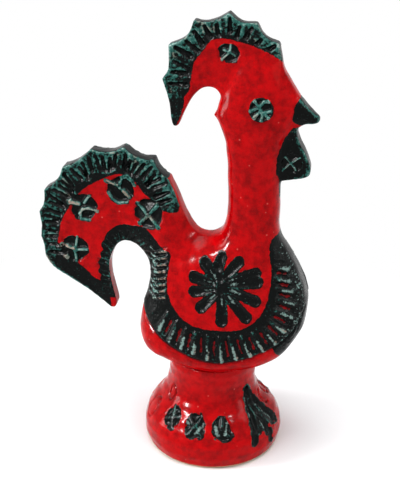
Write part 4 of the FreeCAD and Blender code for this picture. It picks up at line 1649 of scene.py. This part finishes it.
class Nodes:
    """Adds and joins the nodes of one material, or of the world."""

    def __init__(self, owner: bpy.types.Material | bpy.types.World) -> None:
        """Empties the nodes down to the output.

        Args:
            owner: The material or the world.
        """
        self.tree = owner.node_tree
        for node in list(self.tree.nodes):
            if node.type in ("OUTPUT_MATERIAL", "OUTPUT_WORLD"):
                self.out = node
            else:
                self.tree.nodes.remove(node)

    def add(self, kind: str) -> bpy.types.Node:
        """Adds a node."""
        return self.tree.nodes.new(kind)

    def join(self, source: Value, target: Socket) -> None:
        """Feeds a socket, a number or a colour into a socket.

        Args:
            source: What is fed in.
            target: The socket that takes it.
        """
        if isinstance(source, Socket):
            self.tree.links.new(source, target)
        elif isinstance(source, tuple):
            target.default_value = source + (1.0,)
        else:
            target.default_value = source

    def finish(self, surface: Socket) -> None:
        """Joins the finished surface to the output."""
        self.join(surface, self.out.inputs["Surface"])

    def attribute(self, name: str) -> Socket:
        """Reads a number kept on the mesh.

        Args:
            name: The number's name.

        Returns:
            The number.
        """
        node = self.add("ShaderNodeAttribute")
        node.attribute_name = name
        return node.outputs["Fac"]

    def noise(self, place: Socket, grain: Grain) -> Socket:
        """Adds an even noise.

        Args:
            place: Where it is read.
            grain: Its waves a metre, detail and roughness.

        Returns:
            The noise, about 0.5 on average.
        """
        node = self.add("ShaderNodeTexNoise")
        self.join(place, node.inputs["Vector"])
        for name, number in zip(("Scale", "Detail", "Roughness"), grain):
            node.inputs[name].default_value = number
        return node.outputs["Fac"]

    def dots(self, place: Socket, scale: float, size: float) -> Socket:
        """Adds scattered round dots.

        Args:
            place: Where they are read.
            scale: The number of cells a metre, about a third of which hold a dot.
            size: The dot's size as a share of its cell.

        Returns:
            1 inside a dot and 0 outside.
        """
        node = self.add("ShaderNodeTexVoronoi")
        self.join(place, node.inputs["Vector"])
        node.inputs["Scale"].default_value = scale
        near = self.ramp(node.outputs["Distance"], size, size * 0.4)
        chosen = self.add("ShaderNodeSeparateColor")
        self.join(node.outputs["Color"], chosen.inputs["Color"])
        return self.multiplied(near, self.ramp(chosen.outputs["Red"], 0.62, 0.7))

    def ramp(self, value: Value, low: float, high: float, top: float = 1.0) -> Socket:
        """Rises smoothly from 0 to a top, or falls where low is the greater.

        Args:
            value: The number that is read.
            low: Where the rise starts.
            high: Where it ends.
            top: How far it rises.

        Returns:
            The risen number.
        """
        node = self.add("ShaderNodeMapRange")
        node.interpolation_type = "SMOOTHSTEP"
        self.join(value, node.inputs["Value"])
        ends = (low, high, 0.0, top) if low < high else (high, low, top, 0.0)
        for name, number in zip(("From Min", "From Max", "To Min", "To Max"), ends):
            node.inputs[name].default_value = number
        return node.outputs["Result"]

    def blend(self, share: Value, first: Value, second: Value) -> Socket:
        """Mixes two colours.

        Args:
            share: The second colour's share.
            first: The first colour.
            second: The second colour.

        Returns:
            The mixed colour.
        """
        node = self.add("ShaderNodeMix")
        node.data_type = "RGBA"
        for index, source in ((0, share), (6, first), (7, second)):
            self.join(source, node.inputs[index])
        return node.outputs[2]

    def sum_of(self, kind: str, first: Value, second: Value) -> Socket:
        """Works out one sum on two numbers.

        Args:
            kind: The kind of sum.
            first: The first number.
            second: The second number.

        Returns:
            The result.
        """
        node = self.add("ShaderNodeMath")
        node.operation = kind
        self.join(first, node.inputs[0])
        self.join(second, node.inputs[1])
        return node.outputs[0]

    def multiplied(self, first: Value, second: Value) -> Socket:
        """Multiplies two values."""
        return self.sum_of("MULTIPLY", first, second)

    def add_up(self, *parts: tuple[Value, float], offset: float = 0.0) -> Socket:
        """Adds values, each with its own factor, to an offset.

        Args:
            *parts: The values and their factors.
            offset: What the sum starts from.

        Returns:
            The sum.
        """
        total: Value = offset
        for value, factor in parts:
            total = self.sum_of("ADD", self.multiplied(value, factor), total)
        return total

    def held(self, value: Value) -> Socket:
        """Holds a value between 0 and 1.

        Args:
            value: The number.

        Returns:
            The held number.
        """
        node = self.add("ShaderNodeClamp")
        self.join(value, node.inputs["Value"])
        return node.outputs["Result"]

    def seen(self) -> Socket:
        """Tells rays from the camera, in gloss and through glass from those of soft light.

        Returns:
            1 for the first kinds and 0 for the rest.
        """
        rays = self.add("ShaderNodeLightPath").outputs
        either = self.sum_of("MAXIMUM", rays["Is Camera Ray"], rays["Is Glossy Ray"])
        return self.sum_of("MAXIMUM", either, rays["Is Transmission Ray"])

    def mixed(self, share: Value, first: Socket, second: Socket) -> Socket:
        """Mixes two surfaces.

        Args:
            share: The second surface's share.
            first: The first surface.
            second: The second surface.

        Returns:
            The mixed surface.
        """
        node = self.add("ShaderNodeMixShader")
        for index, source in enumerate((share, first, second)):
            self.join(source, node.inputs[index])
        return node.outputs[0]

    def coloured(self, kind: str, colour: Colour) -> bpy.types.Node:
        """Adds a surface node of one colour.

        Args:
            kind: The kind of node.
            colour: Its colour.

        Returns:
            The node.
        """
        node = self.add(kind)
        self.join(colour, node.inputs["Color"])
        return node


@dataclass(frozen=True)
class Glaze:
    """A fired glaze: red, with black that breaks to blue-green and buff where it is brushed on.

    The noises give waves a metre, detail and roughness.
    """

    slot: Slot
    red: Colour = (0.46, 0.0009, 0.0022)
    deep_red: Colour = (0.21, 0.0005, 0.0014)
    pooled_red: Colour = (0.09, 0.002, 0.004)
    # Pinholes in the red, lightened to pink as painted glints
    pit_glint_red: Colour = (0.55, 0.10, 0.08)
    thin_red: Colour = (0.55, 0.05, 0.04)
    black: Colour = (0.0022, 0.0030, 0.0028)
    teal: Colour = (0.022, 0.108, 0.090)
    # Pale blue-green where the black breaks, also used for painted highlights and painted glints
    pale: Colour = (0.29, 0.43, 0.39)
    buff: Colour = (0.34, 0.24, 0.19)
    clay: Colour = (0.55, 0.36, 0.22)
    blotch: Grain = (230.0, 4.0, 0.6)
    cloud: Grain = (60.0, 2.0, 0.5)
    fine: Grain = (900.0, 3.0, 0.6)
    # Pale specks painted on the black as glints
    glint_speck: Grain = (1700.0, 2.0, 0.5)
    thin_patch: Grain = (140.0, 2.0, 0.5)
    brush_edge: Grain = (420.0, 3.0, 0.6)
    ripple: Grain = (330.0, 2.0, 0.5)
    crawl: Grain = (620.0, 4.0, 0.65)
    pit_spread: float = 210.0
    pit_size: float = 0.13
    roughness: float = 0.07
    bare_roughness: float = 0.6
    refraction: float = 1.5
    gloss: float = 0.07
    bump_strength: float = 0.35
    bump_height: float = 0.00035

    def material(self) -> bpy.types.Material:
        """Builds the glaze's nodes.

        Returns:
            The material.
        """
        material = bpy.data.materials.new(self.slot.value)
        material.use_nodes = True
        tree = Nodes(material)
        place = tree.add("ShaderNodeTexCoord").outputs["Object"]
        blotch = tree.noise(place, self.blotch)
        fine = tree.noise(place, self.fine)
        pits = tree.dots(place, self.pit_spread, self.pit_size)

        wander = tree.add_up((tree.noise(place, self.brush_edge), 1.5), (tree.attribute("black"), 1.0),
                             offset=-0.75)
        is_black = tree.ramp(wander, -0.12, 0.12)
        is_bare = tree.ramp(tree.add_up((tree.attribute("bare"), 1.0), (fine, 0.8), offset=-0.4), -0.1, 0.1)
        red = self.red_glaze(tree, place, blotch, fine, pits)
        colour = tree.blend(is_black, red, self.black_glaze(tree, place, blotch, fine))
        colour = tree.blend(is_bare, colour, self.clay)

        shader = tree.add("ShaderNodeBsdfPrincipled")
        tree.join(colour, shader.inputs["Base Color"])
        rough = tree.add_up((fine, 0.10), (is_black, 0.08), (is_bare, self.bare_roughness),
                            offset=self.roughness)
        tree.join(tree.held(rough), shader.inputs["Roughness"])
        shader.inputs["IOR"].default_value = self.refraction
        shader.inputs["Specular IOR Level"].default_value = self.gloss

        fine_waves = tree.multiplied(fine, 0.6)
        height = tree.add_up((tree.noise(place, self.ripple), 0.5), (fine_waves, 1.0), (pits, -0.5))
        rugged = tree.multiplied(is_black, tree.noise(place, self.crawl))
        bump = tree.add("ShaderNodeBump")
        bump.inputs["Strength"].default_value = self.bump_strength
        bump.inputs["Distance"].default_value = self.bump_height
        tree.join(tree.add_up((height, 0.5), (rugged, 2.2)), bump.inputs["Height"])
        tree.join(bump.outputs["Normal"], shader.inputs["Normal"])
        tree.finish(shader.outputs["BSDF"])
        return material

    def red_glaze(self, tree: Nodes, place: Socket, blotch: Socket, fine: Socket, pits: Socket) -> Socket:
        """Mixes the red: mottled, deep where it pools, thin on ridges and speckled with pits that are
        lightened as painted glints.

        Args:
            tree: The material's nodes.
            place: Where on the piece the glaze lies.
            blotch: The noise of the blotches.
            fine: The fine noise.
            pits: Where the pits lie, which are also lightened as painted glints.

        Returns:
            The colour.
        """
        mottle = tree.add_up((blotch, 0.6), (tree.noise(place, self.cloud), 0.2), (fine, 0.2))
        red = tree.blend(tree.ramp(mottle, 0.34, 0.62), self.deep_red, self.red)
        red = tree.blend(tree.ramp(tree.attribute("swell"), -0.12, -0.5, 0.75), red, self.pooled_red)
        # The pits are sunk by the bump and lightened to pink as painted glints
        red = tree.blend(tree.multiplied(pits, 0.6), red, self.pit_glint_red)
        thin = tree.multiplied(tree.ramp(tree.attribute("ridge"), 0.16, 0.42), 0.35)
        return tree.blend(thin, red, self.thin_red)

    def black_glaze(self, tree: Nodes, place: Socket, blotch: Socket, fine: Socket) -> Socket:
        """Mixes the black: blue-green and pale where it breaks on ridges, buff where the clay shows, and
        pale for painted highlights and painted glints.

        Args:
            tree: The material's nodes.
            place: Where on the piece the glaze lies.
            blotch: The noise of the blotches.
            fine: The fine noise.

        Returns:
            The colour.
        """
        ridge = tree.attribute("ridge")
        broken = tree.add_up((ridge, 2.5), (tree.attribute("swell"), 0.4), (fine, 2.5), (blotch, 2.5),
                             offset=-2.8)
        colour = tree.blend(tree.ramp(broken, 0.22, 0.85), self.black, self.teal)
        colour = tree.blend(tree.ramp(broken, 0.95, 1.6, 0.6), colour, self.pale)
        # Pale dots and rib ends, with painted highlights on the rib ends, petals and crescents
        pale_and_highlit = tree.add_up((tree.attribute("pale"), 1.0), (fine, 3.2), (blotch, 2.6), offset=-3.05)
        colour = tree.blend(tree.ramp(pale_and_highlit, 0.0, 0.8, 0.62), colour, self.pale)
        patches = tree.noise(place, self.thin_patch)
        edge = tree.add_up((ridge, 2.0), (fine, 2.0), (patches, 3.0), offset=-2.5)
        colour = tree.blend(tree.ramp(edge, 1.0, 1.5, 0.4), colour, self.buff)
        worn = tree.add_up((tree.attribute("buff"), 1.0), (fine, 3.0), offset=-1.7)
        colour = tree.blend(tree.ramp(worn, 0.0, 0.7, 0.8), colour, self.buff)
        # Painted glints: tiny pale specks scattered over the black
        return tree.blend(tree.ramp(tree.noise(place, self.glint_speck), 0.70, 0.78, 0.4), colour, self.pale)


@dataclass(frozen=True)
class Lamp:
    """A soft lamp that faces the figure, in metres and watts; one only for gloss lights nothing else."""

    name: str
    place: Point
    width: float
    height: float
    power: float
    only_gloss: bool = False

    def hang(self, aim: Point) -> None:
        """Hangs the lamp.

        Args:
            aim: The place that it faces.
        """
        data = bpy.data.lights.new(self.name, "AREA")
        data.shape = "RECTANGLE"
        data.size = self.width
        data.size_y = self.height
        data.energy = self.power
        lamp = bpy.data.objects.new(self.name, data)
        bpy.context.collection.objects.link(lamp)
        lamp.location = self.place
        lamp.rotation_euler = (Vector(self.place) - Vector(aim)).to_track_quat("Z", "Y").to_euler()
        lamp.visible_diffuse = not self.only_gloss


@dataclass
class Studio:
    """The pale floor, the soft lamps, the world and the camera, in metres."""

    aim: Point = (0.01446, 0.0, 0.11818)
    distance: float = 0.6
    azimuth: float = 10.0
    elevation: float = 26.0
    lens: float = 78.68
    sensor: float = 36.0
    nearest: float = 0.01
    lamp_aim: Point = (0.015, 0.0, 0.12)
    lamps: tuple[Lamp, ...] = (
        Lamp("top_lamp", (0.0, -0.15, 1.25), 0.8, 0.8, 15.0),
        Lamp("left_lamp", (-1.15, -0.35, 0.5), 0.28, 0.8, 13.0),
        Lamp("strip_lamp", (-0.84, -0.72, 0.85), 0.06, 0.5, 55.0, True),
        Lamp("right_lamp", (1.25, -0.15, 0.6), 0.3, 0.8, 4.0),
        Lamp("spark_lamp", (0.95, -0.62, 1.0), 0.1, 0.1, 7.0, True),
    )
    floor_size: float = 6.0
    floor_grey: Colour = (0.87, 0.87, 0.87)
    floor_fade: Place = (0.09, 0.26)
    white: Colour = (1.0, 1.0, 1.0)
    soft_sky: Colour = (0.95, 0.97, 1.0)
    sky_strength: float = 0.40

    def place_camera(self) -> None:
        """Sets the camera at the photograph's angle."""
        turn, rise = math.radians(self.azimuth), math.radians(self.elevation)
        back = Vector((math.sin(turn) * math.cos(rise), -math.cos(turn) * math.cos(rise), math.sin(rise)))
        data = bpy.data.cameras.new("camera")
        data.sensor_fit = "VERTICAL"
        data.sensor_height = self.sensor
        data.lens = self.lens
        data.clip_start = self.nearest
        camera = bpy.data.objects.new("camera", data)
        bpy.context.collection.objects.link(camera)
        camera.location = Vector(self.aim) + back * self.distance
        camera.rotation_euler = (-back).to_track_quat("-Z", "Y").to_euler()
        bpy.context.scene.camera = camera

    def lay_floor(self) -> None:
        """Lays the pale floor, which goes over into the white background away from the figure."""
        bpy.ops.object.select_all(action="DESELECT")
        bpy.ops.mesh.primitive_plane_add(size=self.floor_size, location=(0, 0, 0))
        floor = settle(bpy.context.object, "floor")
        material = bpy.data.materials.new("pale_floor")
        material.use_nodes = True
        tree = Nodes(material)
        length = tree.add("ShaderNodeVectorMath")
        length.operation = "LENGTH"
        tree.join(tree.add("ShaderNodeTexCoord").outputs["Object"], length.inputs[0])
        far = tree.ramp(length.outputs["Value"], *self.floor_fade)
        matt = tree.coloured("ShaderNodeBsdfDiffuse", self.floor_grey).outputs[0]
        white = tree.coloured("ShaderNodeEmission", self.white).outputs[0]
        tree.finish(tree.mixed(tree.multiplied(far, tree.seen()), matt, white))
        floor.data.materials.append(material)

    def light(self) -> None:
        """Hangs the lamps and sets the world: white where it is seen, soft light otherwise."""
        for lamp in self.lamps:
            lamp.hang(self.lamp_aim)
        world = bpy.data.worlds.new("studio")
        bpy.context.scene.world = world
        world.use_nodes = True
        tree = Nodes(world)
        soft = tree.coloured("ShaderNodeBackground", self.soft_sky)
        soft.inputs["Strength"].default_value = self.sky_strength
        white = tree.coloured("ShaderNodeBackground", self.white)
        tree.finish(tree.mixed(tree.seen(), soft.outputs[0], white.outputs[0]))

    def build(self) -> None:
        """Sets up camera, floor and light, and the plain view transform."""
        self.place_camera()
        self.lay_floor()
        self.light()
        bpy.context.scene.view_settings.view_transform = "Standard"


@dataclass
class Rooster:
    """All the pieces, their finishes and their places in the frame."""

    red_pieces: tuple[str, ...] = ("foot", "belly_bowl", "side_right", "side_left", "head")

    def build(self) -> dict[str, bpy.types.Object]:
        """Makes every piece.

        Returns:
            The pieces by node name.
        """
        figure = Figure()
        figure.make_clay()
        figure.work_surface()
        figure.press_marks()
        figure.glaze_marks()
        figure.skin.store()
        table = kdtree.KDTree(len(figure.skin.place))
        for index, vertex in enumerate(figure.clay.data.vertices):
            table.insert(vertex.co, index)
        table.balance()
        numbers = {name: self.numbers_of(figure.clay.data, name) for name in FIGURE_MARKS}
        pieces = figure.part()
        for piece in pieces.values():
            self.fill_in(piece.data, table, numbers)
        pieces["foot"] = Foot().make()
        pieces["eye_right"] = Eye(-1).make()
        pieces["eye_left"] = Eye(1).make()
        return pieces

    def numbers_of(self, mesh: bpy.types.Mesh, name: str) -> np.ndarray:
        """Reads a number kept on a mesh.

        Args:
            mesh: The mesh.
            name: The number's name.

        Returns:
            The number at each point.
        """
        values = np.empty(len(mesh.vertices), np.float32)
        mesh.attributes[name].data.foreach_get("value", values)
        return values

    def fill_in(self, mesh: bpy.types.Mesh, table: kdtree.KDTree, numbers: dict[str, np.ndarray]) -> None:
        """Gives the points that a cut made the glaze numbers of the nearest old point.

        Args:
            mesh: The cut piece's mesh.
            table: The old points.
            numbers: The old points' numbers by name.
        """
        fresh = np.flatnonzero(self.numbers_of(mesh, "kept") < FRESH_BELOW)
        nearest = [table.find(mesh.vertices[int(index)].co)[1] for index in fresh]
        for name, source in numbers.items():
            values = self.numbers_of(mesh, name)
            values[fresh] = source[nearest]
            mesh.attributes[name].data.foreach_set("value", values)
        mesh.attributes.remove(mesh.attributes["kept"])

    def dress(self, pieces: dict[str, bpy.types.Object]) -> None:
        """Glazes each piece and ties it to the frame.

        Args:
            pieces: The pieces by node name.
        """
        glazes = {slot: Glaze(slot).material() for slot in Slot}
        for name, piece in pieces.items():
            for mark in SPARE_MARKS:
                if mark not in piece.data.attributes:
                    layer = piece.data.attributes.new(mark, "FLOAT", "POINT")
                    layer.data.foreach_set("value", np.full(len(piece.data.vertices), NO_MARK, np.float32))
            alone(piece)
            bpy.ops.object.shade_smooth_by_angle(angle=math.radians(SMOOTH_DEGREES))
            slot = Slot.RED if name in self.red_pieces else Slot.BLACK
            piece.name = f"{name}_clay"
            piece.data.materials.clear()
            piece.data.materials.append(glazes[slot])
            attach(piece, "root")
            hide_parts(name)
            log.info("%s: %d faces", name, len(piece.data.polygons))


def main() -> None:
    """Builds the studio and the rooster in order."""
    logging.basicConfig(level=logging.INFO, format="%(message)s")
    Studio().build()
    rooster = Rooster()
    rooster.dress(rooster.build())


if __name__ == "__main__":
    main()
